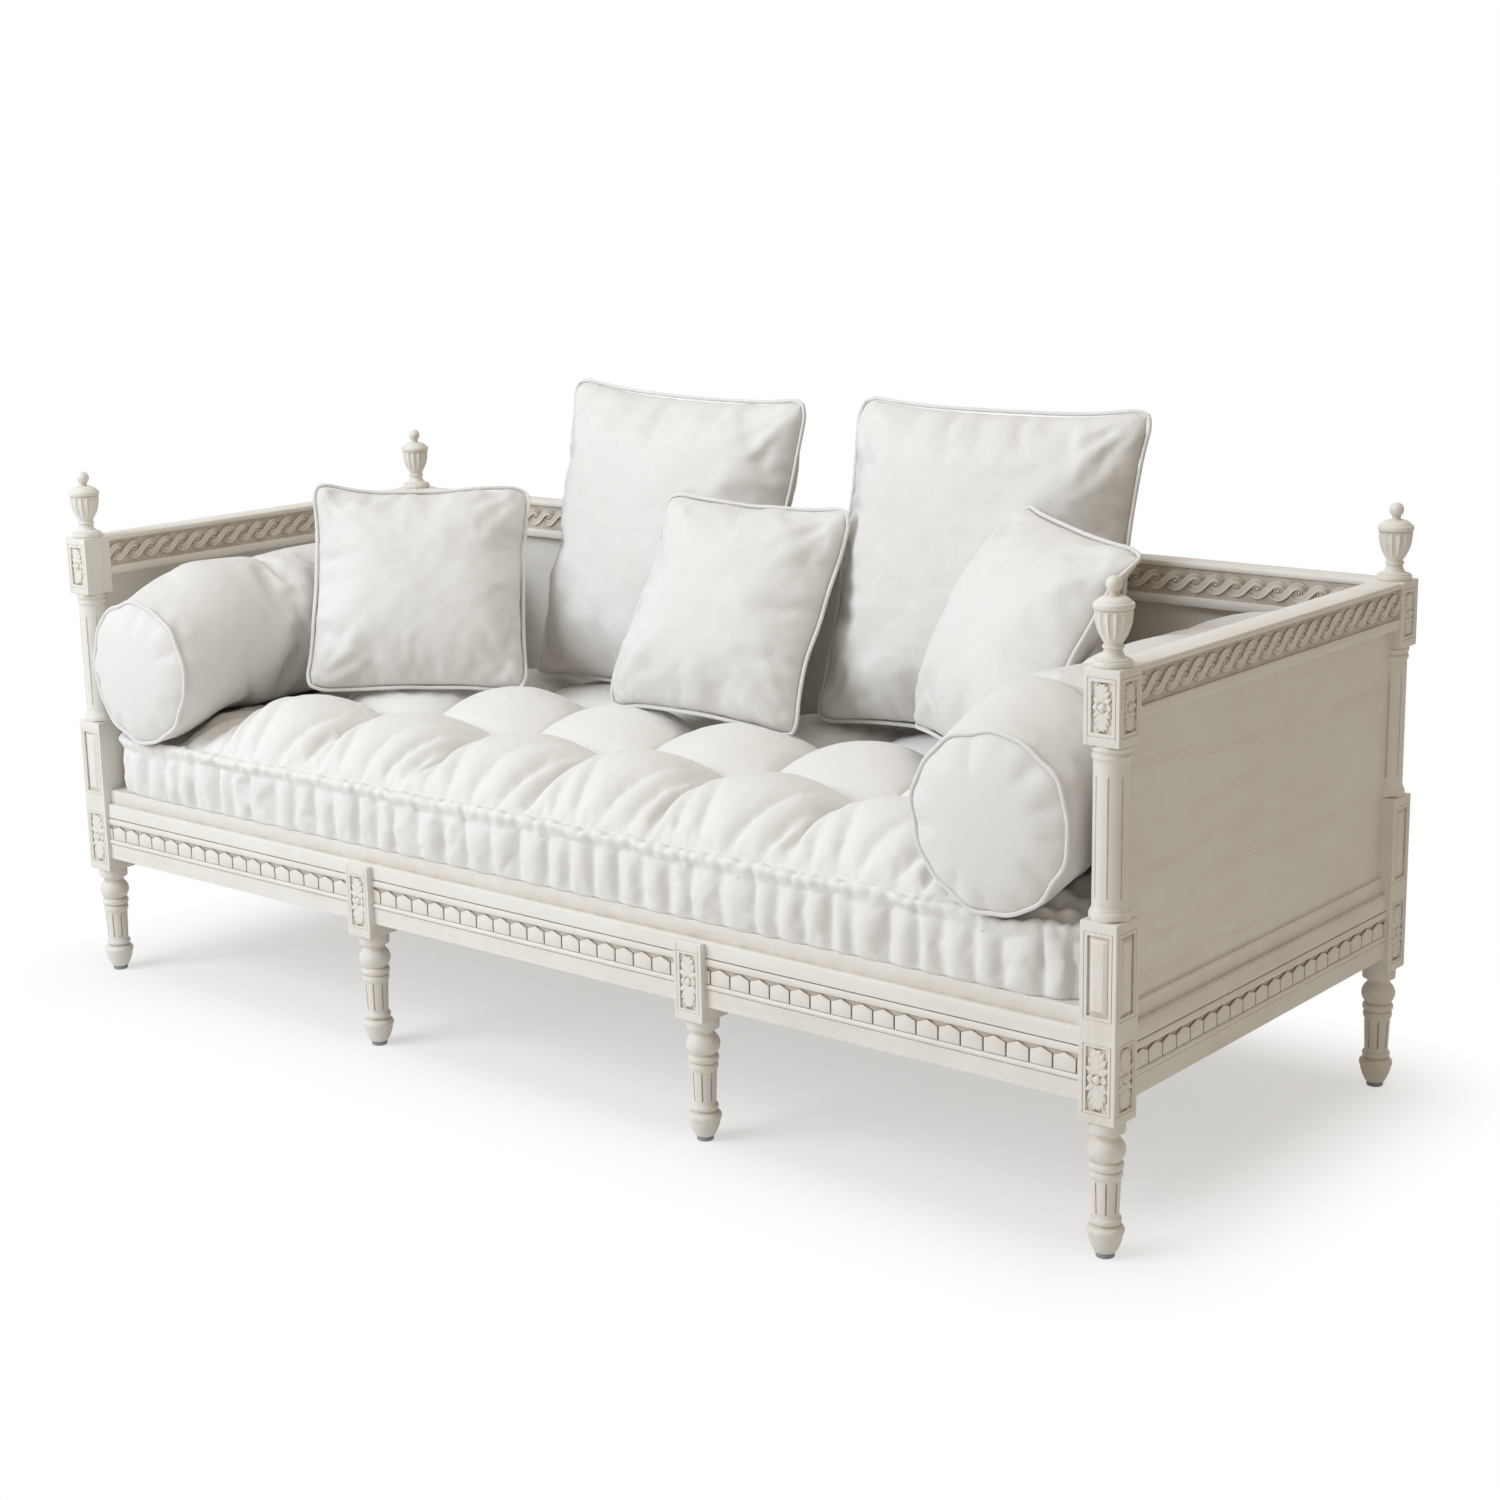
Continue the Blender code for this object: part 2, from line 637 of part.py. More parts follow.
def top_rail(name, length, offset, turn, material):
    """A top rail with a sunk frieze on both faces, a panel groove below and tenons at its ends."""
    half = length / 2 - GAP
    side, sunk = TOP_RAIL_T / 2, TOP_RAIL_T / 2 - TOP_FRIEZE_IN
    frieze = TOP_RAIL_Z + TOP_FRIEZE_FOOT
    head = TOP_RAIL_Z + TOP_RAIL_H
    right = [
        (side - TOP_FRIEZE_IN, TOP_RAIL_Z),
        (side, TOP_RAIL_Z + TOP_FRIEZE_IN),
        (side, frieze),
        (sunk, frieze + TOP_FRIEZE_IN / 2),
        (sunk, frieze + TOP_FRIEZE_H - TOP_FRIEZE_IN / 2),
        (side, frieze + TOP_FRIEZE_H),
        (side, head - TOP_RAIL_ROUND),
        (side - TOP_RAIL_ROUND, head),
    ]
    outline = right + [(-u, v) for u, v in reversed(right)]
    bm = bmesh.new()
    prism(bm, outline, -half, half, along_x)
    spin = Matrix.Rotation(math.radians(turn), 3, "Z")
    item = add(name, bm, material, at=spin @ Vector((0.0, -offset, 0.0)), turn=turn)
    bm = bmesh.new()
    foot = TOP_RAIL_Z + TOP_TENON_FOOT
    for sign in (-1, 1):
        block(bm, (sign * (half - CUT), -TENON_T / 2, foot),
              (sign * (half + TENON_L), TENON_T / 2, foot + TOP_TENON_H))
    combine(item, bm, "UNION")
    bm = bmesh.new()
    groove = PANEL_T / 2 + GAP
    block(bm, (-half - CUT, -groove, TOP_RAIL_Z - CUT), (half + CUT, groove, TOP_RAIL_Z + GROOVE_D + GAP))
    combine(item, bm, "DIFFERENCE")
    return item


def panel(name, span, offset, turn, material):
    """A plain panel that stands in the grooves of the rails and posts."""
    half = span / 2 - PANEL_SIDE_IN
    bm = bmesh.new()
    block(bm, (-half, -PANEL_T / 2, SEAT_Z - GROOVE_D), (half, PANEL_T / 2, TOP_RAIL_Z + GROOVE_D))
    spin = Matrix.Rotation(math.radians(turn), 3, "Z")
    return add(name, bm, material, at=spin @ Vector((0.0, -offset, 0.0)), turn=turn)


def rounded_bar(name, low, high, edge, material):
    """A planed bar with eased edges."""
    bm = bmesh.new()
    block(bm, low, high)
    long_axis = max(range(3), key=lambda k: abs(high[k] - low[k]))
    edges = [e for e in bm.edges if abs((e.verts[0].co - e.verts[1].co)[long_axis]) > edge]
    bmesh.ops.bevel(bm, geom=edges, offset=edge, segments=1, affect="EDGES")
    return add(name, bm, material)


def deck(material):
    """Two cleats on the long rails and the slats that lie across them."""
    inner = SPAN_Y / 2 + RAIL_FACE - RAIL_T - GAP
    reach = SPAN_X / 2 - LOW_BLOCK / 2 - CLEAT_END
    top = SEAT_Z - SLAT_T
    for label, sign in (("front", -1), ("back", 1)):
        near, far = sorted((sign * inner, sign * (inner - CLEAT_W)))
        low = (-reach, near, top - GAP - CLEAT_H)
        rounded_bar(f"cleat_{label}", low, (reach, far, top - GAP), SLAT_EDGE, material)
    first = -SPAN_X / 2 + SLAT_END
    step = (SPAN_X - 2 * SLAT_END) / (SLAT_COUNT - 1)
    half_y = inner - GAP
    for i in range(SLAT_COUNT):
        x = first + i * step
        low = (x - SLAT_W / 2, -half_y, top)
        rounded_bar(f"slat_{i + 1}", low, (x + SLAT_W / 2, half_y, SEAT_Z), SLAT_EDGE, material)


def mattress(material):
    """French mattress: rolled edges above and below, a drawn-in side and a top of tufted puffs."""
    half_x = SPAN_X / 2 - LOW_BLOCK / 2 - MATTRESS_CLEAR
    front = -(SPAN_Y / 2 + RAIL_FACE - MATTRESS_FRONT_IN)
    back = SPAN_Y / 2 - LOW_BLOCK / 2 - MATTRESS_CLEAR
    foot = SEAT_Z + GAP
    nx, ny = PUFFS_X * PUFF_STEPS, PUFFS_Y * PUFF_STEPS

    def plan(i, j, inset):
        low_x, high_x = -half_x + inset, half_x - inset
        low_y, high_y = front + inset, back - inset
        x = low_x + (high_x - low_x) * i / nx
        y = low_y + (high_y - low_y) * j / ny
        if i in (0, nx) and j in (0, ny):
            x += MATTRESS_CORNER if i == 0 else -MATTRESS_CORNER
            y += MATTRESS_CORNER if j == 0 else -MATTRESS_CORNER
        return x, y

    ring = [(i, 0) for i in range(nx)] + [(nx, j) for j in range(ny)]
    ring += [(i, ny) for i in range(nx, 0, -1)] + [(0, j) for j in range(ny, 0, -1)]
    roll, waist, side = MATTRESS_ROLL, MATTRESS_WAIST, MATTRESS_SIDE_H
    levels = [(0.0, roll), (roll, 0.0), (2 * roll, waist),
              (side - 2 * roll, waist), (side - roll, 0.0), (side, roll)]
    bm = bmesh.new()
    loops = []
    for height, inset in levels:
        loops.append([bm.verts.new((*plan(i, j, inset), foot + height)) for i, j in ring])
    count = len(ring)
    for low, high in zip(loops, loops[1:]):
        for k in range(count):
            m = (k + 1) % count
            bm.faces.new((low[k], low[m], high[m], high[k]))
    bm.faces.new(loops[0][::-1])
    grid = dict(zip(ring, loops[-1]))
    for i in range(1, nx):
        for j in range(1, ny):
            across = abs(math.sin(math.pi * i / PUFF_STEPS))
            along = abs(math.sin(math.pi * j / PUFF_STEPS))
            share = CHANNEL_SHARE * (across + along) + (1.0 - 2 * CHANNEL_SHARE) * across * along
            from_end = min(i, nx - i) / PUFF_STEPS
            from_back = (ny - j) / PUFF_STEPS
            press = max(BOLSTER_PRESS * min(1.0, max(0.0, 3.0 - 2.0 * from_end)),
                        PILLOW_PRESS * min(1.0, max(0.0, 3.0 - 2.0 * from_back)))
            grid[i, j] = bm.verts.new((*plan(i, j, roll), foot + side + (MATTRESS_CROWN - press) * share))
    for i in range(nx):
        for j in range(ny):
            bm.faces.new((grid[i, j], grid[i + 1, j], grid[i + 1, j + 1], grid[i, j + 1]))
    return add("mattress", bm, material, smooth=60)


def pillow(name, size, thick, material):
    """A piped square pillow, upright and facing -Y: crowned faces, sides drawn in between the corners."""
    n = PILLOW_STEPS
    marks = [math.sin(math.pi / 2 * (2 * i / n - 1)) for i in range(n + 1)]
    bm = bmesh.new()
    sides = {}
    for sign in (-1, 1):
        for i, u in enumerate(marks):
            for j, v in enumerate(marks):
                x = size / 2 * u * (1 - PILLOW_DRAW_IN * (1 - v * v))
                z = size / 2 * v * (1 - PILLOW_DRAW_IN * (1 - u * u))
                crown = (max(0.0, 1 - u * u) * max(0.0, 1 - v * v)) ** PILLOW_FULLNESS
                y = sign * (PIPING_D / 2 + (thick - PIPING_D) / 2 * crown)
                sides[sign, i, j] = bm.verts.new((x, y, z))
        for i in range(n):
            for j in range(n):
                bm.faces.new([sides[sign, *k] for k in ((i, j), (i + 1, j), (i + 1, j + 1), (i, j + 1))])
    ring = [(i, 0) for i in range(n)] + [(n, j) for j in range(n)]
    ring += [(i, n) for i in range(n, 0, -1)] + [(0, j) for j in range(n, 0, -1)]
    for k, here in enumerate(ring):
        there = ring[(k + 1) % len(ring)]
        bm.faces.new((sides[-1, *here], sides[-1, *there], sides[1, *there], sides[1, *here]))
    return add(name, bm, material, smooth=60)


def bolster(name, sx, material):
    """A bolster along an arm: piped and domed ends, its front end drooping over the mattress."""
    radius, cap = BOLSTER_D / 2, BOLSTER_CAP_D / 2
    end = BOLSTER_L / 2
    body = [-0.94, -0.8, -0.55, -0.2, 0.2, 0.55, 0.94]
    stations = [(-end - BOLSTER_DOME, cap * 0.3), (-end - BOLSTER_DOME * 0.7, cap * 0.7), (-end, cap)]
    stations += [(t * end, radius * (0.975 + 0.025 * math.cos(math.pi * t))) for t in body]
    stations += [(end, cap), (end + BOLSTER_DOME * 0.7, cap * 0.7), (end + BOLSTER_DOME, cap * 0.3)]
    bm = bmesh.new()
    rings = []
    for y, r in stations:
        reach = max(0.0, (BOLSTER_DROOP_L - end - y) / BOLSTER_DROOP_L)
        drop = BOLSTER_DROOP * min(1.0, reach) ** 2
        ring = []
        for i in range(BOLSTER_SIDES):
            angle = math.tau * (i + 0.5) / BOLSTER_SIDES
            ring.append(bm.verts.new((r * math.cos(angle), y, r * BOLSTER_SQUASH * math.sin(angle) - drop)))
        rings.append(ring)
    for low, high in zip(rings, rings[1:]):
        for i in range(BOLSTER_SIDES):
            j = (i + 1) % BOLSTER_SIDES
            bm.faces.new((low[i], low[j], high[j], high[i]))
    bm.faces.new(rings[0])
    bm.faces.new(rings[-1])
    item = add(name, bm, material, smooth=60)
    back = SPAN_Y / 2 - PANEL_T / 2 - BOLSTER_BACK_CLEAR
    top = SEAT_Z + MATTRESS_SIDE_H + MATTRESS_CROWN
    item.location = (sx * BOLSTER_X, back - BOLSTER_DOME - end, top + radius + BOLSTER_DROOP)
    return item


def surface(item, shift=Vector((0.0, 0.0, 0.0))):
    """An object's surface, moved by a shift, as a tree for contact tests."""
    place = Matrix.Translation(Vector(item.location) + shift) @ item.rotation_euler.to_matrix().to_4x4()
    points = [place @ v.co for v in item.data.vertices]
    return BVHTree.FromPolygons(points, [tuple(p.vertices) for p in item.data.polygons])


def settle(item, direction, stops, step=0.004):
    """Moves a soft piece along a direction until it lies a clearance short of what stops it."""
    way = Vector(direction).normalized()
    trees = [surface(other) for other in stops]

    def is_clear(travel):
        moved = surface(item, way * travel)
        return not any(moved.overlap(tree) for tree in trees)

    travel = 0.0
    while not is_clear(travel):
        travel -= step
    while is_clear(travel + step) and travel < SPAN_X:
        travel += step
    low, high = travel, travel + step
    for _ in range(10):
        middle = (low + high) / 2
        low, high = (middle, high) if is_clear(middle) else (low, middle)
    item.location = Vector(item.location) + way * (low - GAP)


def lean(item, at, turns, size, seat, backers, pushed=True):
    """Stands a pillow on the mattress and leans it back on what is behind it.

    Turns are yaw, lean and spin. A pillow that isn't pushed back is only lowered where it is.
    """
    yaw, tilt, spin = turns
    item.rotation_mode = "YXZ"
    item.rotation_euler = (math.radians(-tilt), math.radians(spin), math.radians(yaw))
    top = SEAT_Z + MATTRESS_SIDE_H + MATTRESS_CROWN
    item.location = (at[0], at[1], top + size / 2)
    back = Vector((-math.sin(math.radians(yaw)), math.cos(math.radians(yaw)), 0.0))
    for _ in range(3 if pushed else 0):
        settle(item, (0.0, 0.0, -1.0), [seat])
        settle(item, back, backers)
    settle(item, (0.0, 0.0, -1.0), [seat, *backers])


def main():
    """Builds every piece of the daybed."""
    for old in list(bpy.data.objects):
        bpy.data.objects.remove(old)
    wood = finish("ivory_paint", PAINT, 0.55)
    flat = finish("panel_paint", PANEL_PAINT, 0.6)
    pine = finish("pine", PINE, 0.7)
    plastic = finish("grey_plastic", GLIDE_GREY, 0.5)
    cotton = finish("cotton", COTTON, 0.9)
    ticking = finish("ticking", TICKING, 0.9)

    sides = {"left": -1, "right": 1}
    ends = {"front": -1, "back": 1}
    posts = {}
    for end, sy in ends.items():
        for side, sx in sides.items():
            posts[end, side] = post(f"post_{end}_{side}", sx, sy, wood)
            finial(f"finial_{end}_{side}", sx, sy, wood)
            places = {side: sx * SPAN_X / 2, f"mid_{side}": sx * MID_LEG_X}
            for spot, x in places.items():
                leg(f"leg_{end}_{spot}", x, sy * SPAN_Y / 2, wood)
                glide(f"glide_{end}_{spot}", x, sy * SPAN_Y / 2, plastic)
            mid_block(f"rosette_block_{end}_{side}", sx * MID_LEG_X, sy, wood)

    clear_x, clear_y = SPAN_X - LOW_BLOCK, SPAN_Y - LOW_BLOCK
    edge = MID_BLOCK_W / 2 + GAP
    stops = [-MID_LEG_X - edge, -MID_LEG_X + edge, MID_LEG_X - edge, MID_LEG_X + edge]
    seat_rail("rail_front", clear_x, SPAN_Y / 2, 0.0, stops, False, wood)
    seat_rail("rail_back", clear_x, SPAN_Y / 2, 180.0, stops, True, wood)
    seat_rail("rail_right", clear_y, SPAN_X / 2, 90.0, [], True, wood)
    seat_rail("rail_left", clear_y, SPAN_X / 2, 270.0, [], True, wood)
    head_x, head_y = SPAN_X - TOP_BLOCK, SPAN_Y - TOP_BLOCK
    back_rail = top_rail("top_rail_back", head_x, SPAN_Y / 2, 180.0, wood)
    arms = [top_rail("top_rail_right", head_y, SPAN_X / 2, 90.0, wood),
            top_rail("top_rail_left", head_y, SPAN_X / 2, 270.0, wood)]
    back_panel = panel("panel_back", SPAN_X, SPAN_Y / 2, 180.0, flat)
    panel("panel_right", SPAN_Y, SPAN_X / 2, 90.0, flat)
    panel("panel_left", SPAN_Y, SPAN_X / 2, 270.0, flat)
    deck(pine)

    bed = mattress(ticking)
    rolls = {}
    for side, sx in sides.items():
        rolls[side] = bolster(f"bolster_{side}", sx, cotton)
        settle(rolls[side], (0.0, 0.0, -1.0), [bed])
    back = [back_rail, back_panel, *arms, *posts.values()]
    big_left = pillow("pillow_large_left", BIG_PILLOW, BIG_PILLOW_T, cotton)
    lean(big_left, (BIG_LEFT_X, 0.0), (BIG_LEFT_YAW, BIG_LEAN, BIG_LEFT_SPIN), BIG_PILLOW, bed, back)
    big_right = pillow("pillow_large_right", BIG_PILLOW, BIG_PILLOW_T, cotton)
    turns = (BIG_RIGHT_YAW, BIG_LEAN, BIG_RIGHT_SPIN)
    lean(big_right, (BIG_RIGHT_X, 0.0), turns, BIG_PILLOW, bed, back + [big_left])
    behind = back + [big_left, big_right, *rolls.values()]
    small = {
        "left": ((SMALL_LEFT_X, SMALL_LEFT_Y), (SMALL_LEFT_YAW, SMALL_LEAN, SMALL_LEFT_SPIN)),
        "mid": ((SMALL_MID_X, SMALL_MID_Y), (SMALL_MID_YAW, SMALL_LEAN, SMALL_MID_SPIN)),
        "right": ((BOLSTER_X - SMALL_RIGHT_BESIDE, SPAN_Y / 2 - SMALL_RIGHT_BEFORE),
                  (SMALL_RIGHT_YAW, SMALL_LEAN, SMALL_RIGHT_SPIN)),
    }
    for label, (at, turns) in small.items():
        item = pillow(f"pillow_small_{label}", SMALL_PILLOW, SMALL_PILLOW_T, cotton)
        lean(item, at, turns, SMALL_PILLOW, bed, behind, pushed=label != "right")


main()
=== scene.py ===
"""Looks of a carved and painted daybed with a tufted mattress, square pillows and bolsters."""

from __future__ import annotations

import logging
import math
from dataclasses import dataclass, field
from enum import Enum
from typing import Callable, Sequence

import bmesh
import bpy
import numpy as np
from mathutils import Euler, Matrix, Vector
from mathutils.bvhtree import BVHTree

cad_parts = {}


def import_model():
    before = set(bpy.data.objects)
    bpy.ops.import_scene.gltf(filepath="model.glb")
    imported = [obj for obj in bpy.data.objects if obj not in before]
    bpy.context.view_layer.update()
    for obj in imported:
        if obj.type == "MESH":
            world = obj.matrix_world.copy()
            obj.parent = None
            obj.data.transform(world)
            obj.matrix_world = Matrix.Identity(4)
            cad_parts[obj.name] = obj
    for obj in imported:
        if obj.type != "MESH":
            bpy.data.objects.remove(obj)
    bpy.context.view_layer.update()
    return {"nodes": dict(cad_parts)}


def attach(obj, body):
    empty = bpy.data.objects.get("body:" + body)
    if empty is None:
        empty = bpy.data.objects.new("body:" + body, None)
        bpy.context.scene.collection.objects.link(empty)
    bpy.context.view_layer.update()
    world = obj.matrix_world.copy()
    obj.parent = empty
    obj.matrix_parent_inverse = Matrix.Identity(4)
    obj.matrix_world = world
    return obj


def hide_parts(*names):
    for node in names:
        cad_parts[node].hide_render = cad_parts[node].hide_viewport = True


LOG = logging.getLogger("daybed")
Colour = tuple[float, float, float]


# ---------------------------------------------------------------- mesh kit


@dataclass
class Shape:
    """A closed mesh in the making.

    Attributes:
        points: Corner places in metres, one row each.
        faces: Corner numbers of each face, anticlockwise from outside.
        recess: How deep in a hollow each corner lies, from 0 to 1.
    """

    points: np.ndarray
    faces: list[tuple[int, ...]]
    recess: np.ndarray | None = None

    @staticmethod
    def join(shapes: Sequence["Shape"]) -> "Shape":
        """Puts several shapes into one.

        Args:
            shapes: The shapes, kept as they are.

        Returns:
            One shape that holds all their faces.
        """
        faces: list[tuple[int, ...]] = []
        start = 0
        for shape in shapes:
            faces += [tuple(start + i for i in face) for face in shape.faces]
            start += len(shape.points)
        recess = [np.zeros(len(s.points)) if s.recess is None else s.recess for s in shapes]
        return Shape(np.vstack([s.points for s in shapes]), faces, np.concatenate(recess))

    def moved(self, matrix: Matrix) -> "Shape":
        """Gives a copy put through a matrix, with its faces still outwards.

        Args:
            matrix: The 4 by 4 placing; it may mirror.

        Returns:
            The placed copy.
        """
        turn = np.array(matrix)
        points = self.points @ turn[:3, :3].T + turn[:3, 3]
        faces = self.faces
        if np.linalg.det(turn[:3, :3]) < 0:
            faces = [tuple(reversed(face)) for face in faces]
        return Shape(points, faces, self.recess)

    def normals(self) -> np.ndarray:
        """Gives the unit normal at each corner, weighted by face area.

        Returns:
            One normal for each corner.
        """
        total = np.zeros_like(self.points)
        by_count: dict[int, list[tuple[int, ...]]] = {}
        for face in self.faces:
            by_count.setdefault(len(face), []).append(face)
        for faces in by_count.values():
            index = np.array(faces)
            corners = self.points[index]
            normal = np.cross(corners, np.roll(corners, -1, axis=1)).sum(axis=1)
            for column in index.T:
                np.add.at(total, column, normal)
        length = np.linalg.norm(total, axis=1, keepdims=True)
        return total / np.maximum(length, 1e-12)

    def hollowed(self, reach: float, rays: int = 12) -> "Shape":
        """Gives a copy whose recess says how much of the near space is walled in.

        Args:
            reach: How far the short probing rays go, in metres.
            rays: How many rays leave each corner.

        Returns:
            The copy with its recess filled in.
        """
        tree = BVHTree.FromPolygons(self.points.tolist(), self.faces)
        normals = self.normals()
        other = np.where(np.abs(normals[:, 2:3]) < 0.9, [[0.0, 0.0, 1.0]], [[1.0, 0.0, 0.0]])
        side = np.cross(normals, other)
        side /= np.maximum(np.linalg.norm(side, axis=1, keepdims=True), 1e-12)
        lift = np.cross(normals, side)
        starts = self.points + normals * 0.0003
        met = np.zeros(len(self.points))
        for ray in range(rays):
            share = (ray + 0.5) / rays
            spread, turn = math.sqrt(share), ray * 2.399963
            along = (
                normals * math.sqrt(1.0 - share)
                + side * (spread * math.cos(turn))
                + lift * (spread * math.sin(turn))
            )
            met += [
                tree.ray_cast(start, way, reach)[0] is not None
                for start, way in zip(starts.tolist(), along.tolist())
            ]
        return Shape(self.points, self.faces, met / rays)

    def piece(self, name: str, finish: bpy.types.Material, crease: float = 34.0) -> bpy.types.Object:
        """Makes the shape an object at the origin.

        Args:
            name: The piece's name.
            finish: Its material.
            crease: Edges sharper than this many degrees stay sharp.

        Returns:
            The new object, linked to the scene.
        """
        mesh = bpy.data.meshes.new(name)
        mesh.from_pydata(self.points.tolist(), [], self.faces)
        if self.recess is not None:
            layer = mesh.attributes.new("recess", "FLOAT", "POINT")
            layer.data.foreach_set("value", self.recess.astype(np.float32))
        work = bmesh.new()
        work.from_mesh(mesh)
        bmesh.ops.remove_doubles(work, verts=work.verts, dist=2e-6)
        work.to_mesh(mesh)
        work.free()
        mesh.materials.append(finish)
        mesh.shade_smooth()
        mesh.set_sharp_from_angle(angle=math.radians(crease))
        return linked(name, mesh)


def grid_faces(rows: int, columns: int, start: int = 0, wrap: bool = False) -> list[tuple[int, ...]]:
    """Lists the quads of a grid whose corners run along the columns first.

    Args:
        rows: Number of corner rows.
        columns: Number of corners in a row.
        start: Number of the first corner.
        wrap: Whether the last column joins the first.

    Returns:
        The quads, anticlockwise where columns run right and rows run up.
    """
    last = columns if wrap else columns - 1
    return [
        (
            start + r * columns + c,
            start + r * columns + (c + 1) % columns,
            start + (r + 1) * columns + (c + 1) % columns,
            start + (r + 1) * columns + c,
        )
        for r in range(rows - 1)
        for c in range(last)
    ]


def lines_between(low: float, high: float, step: float, kept: Sequence[float] = ()) -> np.ndarray:
    """Spaces grid lines evenly and keeps some exact ones among them.

    Args:
        low: First line.
        high: Last line.
        step: Widest spacing.
        kept: Lines that must be there.

    Returns:
        All lines in rising order.
    """
    even = np.linspace(low, high, max(2, int(math.ceil((high - low) / step)) + 1))
    fixed = np.array([low, high, *[k for k in kept if low < k < high]])
    free = [e for e in even if np.min(np.abs(fixed - e)) > 0.4 * step]
    return np.unique(np.round(np.concatenate([fixed, free]), 7))


def linked(name: str, data: bpy.types.ID) -> bpy.types.Object:
    """Makes mesh, lamp or camera data an object in the scene.

    Args:
        name: The object's name.
        data: What it holds.

    Returns:
        The new object, at the origin.
    """
    item = bpy.data.objects.new(name, data)
    bpy.context.scene.collection.objects.link(item)
    return item


def smooth_step(low: float, high: float, value: np.ndarray) -> np.ndarray:
    """Eases from 0 at low to 1 at high."""
    t = np.clip((value - low) / (high - low), 0.0, 1.0)
    return t * t * (3.0 - 2.0 * t)


# ---------------------------------------------------------------- finishes


class Grain(Enum):
    """The way the wood grain runs, with how much it is squeezed along each axis."""

    ALONG_X = (1.4, 26.0, 26.0)
    ALONG_Y = (26.0, 1.4, 26.0)
    ALONG_Z = (26.0, 26.0, 1.4)


class NodeBoard:
    """Places and joins nodes in one tree."""

    def __init__(self, tree: bpy.types.NodeTree) -> None:
        """Keeps the tree and empties it."""
        self.tree = tree
        tree.nodes.clear()

    def add(self, kind: str, links: dict[str | int, object] | None = None, **settings: object) -> bpy.types.Node:
        """Adds a node.

        Args:
            kind: The node's type name.
            links: Input name or number to a socket to join, or a value to set.
            settings: The node's own properties.

        Returns:
            The new node.
        """
        node = self.tree.nodes.new(kind)
        for key, value in settings.items():
            setattr(node, key, value)
        for key, value in (links or {}).items():
            if isinstance(value, bpy.types.NodeSocket):
                self.tree.links.new(value, node.inputs[key])
            else:
                node.inputs[key].default_value = value
        return node

    def math(self, operation: str, first: object, second: object = 0.0, clamp: bool = False) -> bpy.types.NodeSocket:
        """Adds a Math node and gives its result.

        Args:
            operation: The node's operation.
            first: The first value or socket.
            second: The second value or socket.
            clamp: Whether the result is held between 0 and 1.

        Returns:
            The node's result.
        """
        return self.add(
            "ShaderNodeMath", {0: first, 1: second}, operation=operation, use_clamp=clamp
        ).outputs[0]

    def ease(self, value: object, low: float, high: float) -> bpy.types.NodeSocket:
        """Adds a smooth step from low to high and gives its result.

        Args:
            value: The value or socket to ease.
            low: Where 0 ends.
            high: Where 1 starts.

        Returns:
            The node's result.
        """
        node = self.add(
            "ShaderNodeMapRange", {0: value, 1: low, 2: high}, interpolation_type="SMOOTHSTEP"
        )
        return node.outputs[0]

    def mix(self, share: object, first: object, second: object) -> bpy.types.NodeSocket:
        """Adds a colour mix and gives its result.

        Args:
            share: How much of the second.
            first: The first colour.
            second: The second colour.

        Returns:
            The node's result.
        """
        node = self.add("ShaderNodeMix", data_type="RGBA")
        for socket, value in zip((node.inputs[0], node.inputs[6], node.inputs[7]), (share, first, second)):
            if isinstance(value, bpy.types.NodeSocket):
                self.tree.links.new(value, socket)
            elif isinstance(value, tuple):
                socket.default_value = (*value, 1.0)
            else:
                socket.default_value = value
        return node.outputs[2]

    def noise(self, vector: object, scale: float, detail: float = 3.0, rough: float = 0.5) -> bpy.types.NodeSocket:
        """Adds a noise texture and gives its value.

        Args:
            vector: The place to look up.
            scale: How fine the noise is.
            detail: How many layers it has.
            rough: How strong the finer layers are.

        Returns:
            The node's result.
        """
        return self.add(
            "ShaderNodeTexNoise",
            {"Vector": vector, "Scale": scale, "Detail": detail, "Roughness": rough},
        ).outputs[0]


def new_group(
    name: str, inputs: Sequence[tuple[str, str, object]], outputs: Sequence[str]
) -> tuple[NodeBoard, bpy.types.Node, bpy.types.Node]:
    """Starts a shader group.

    Args:
        name: The group's name.
        inputs: Name, kind (Float or Vector) and default of each input.
        outputs: Names of the value outputs.

    Returns:
        Its board, its input node and its output node.
    """
    tree = bpy.data.node_groups.new(name, "ShaderNodeTree")
    for label, kind, default in inputs:
        socket = tree.interface.new_socket(label, in_out="INPUT", socket_type="NodeSocket" + kind)
        socket.default_value = default
    for label in outputs:
        tree.interface.new_socket(label, in_out="OUTPUT", socket_type="NodeSocketFloat")
    board = NodeBoard(tree)
    return board, board.add("NodeGroupInput"), board.add("NodeGroupOutput")


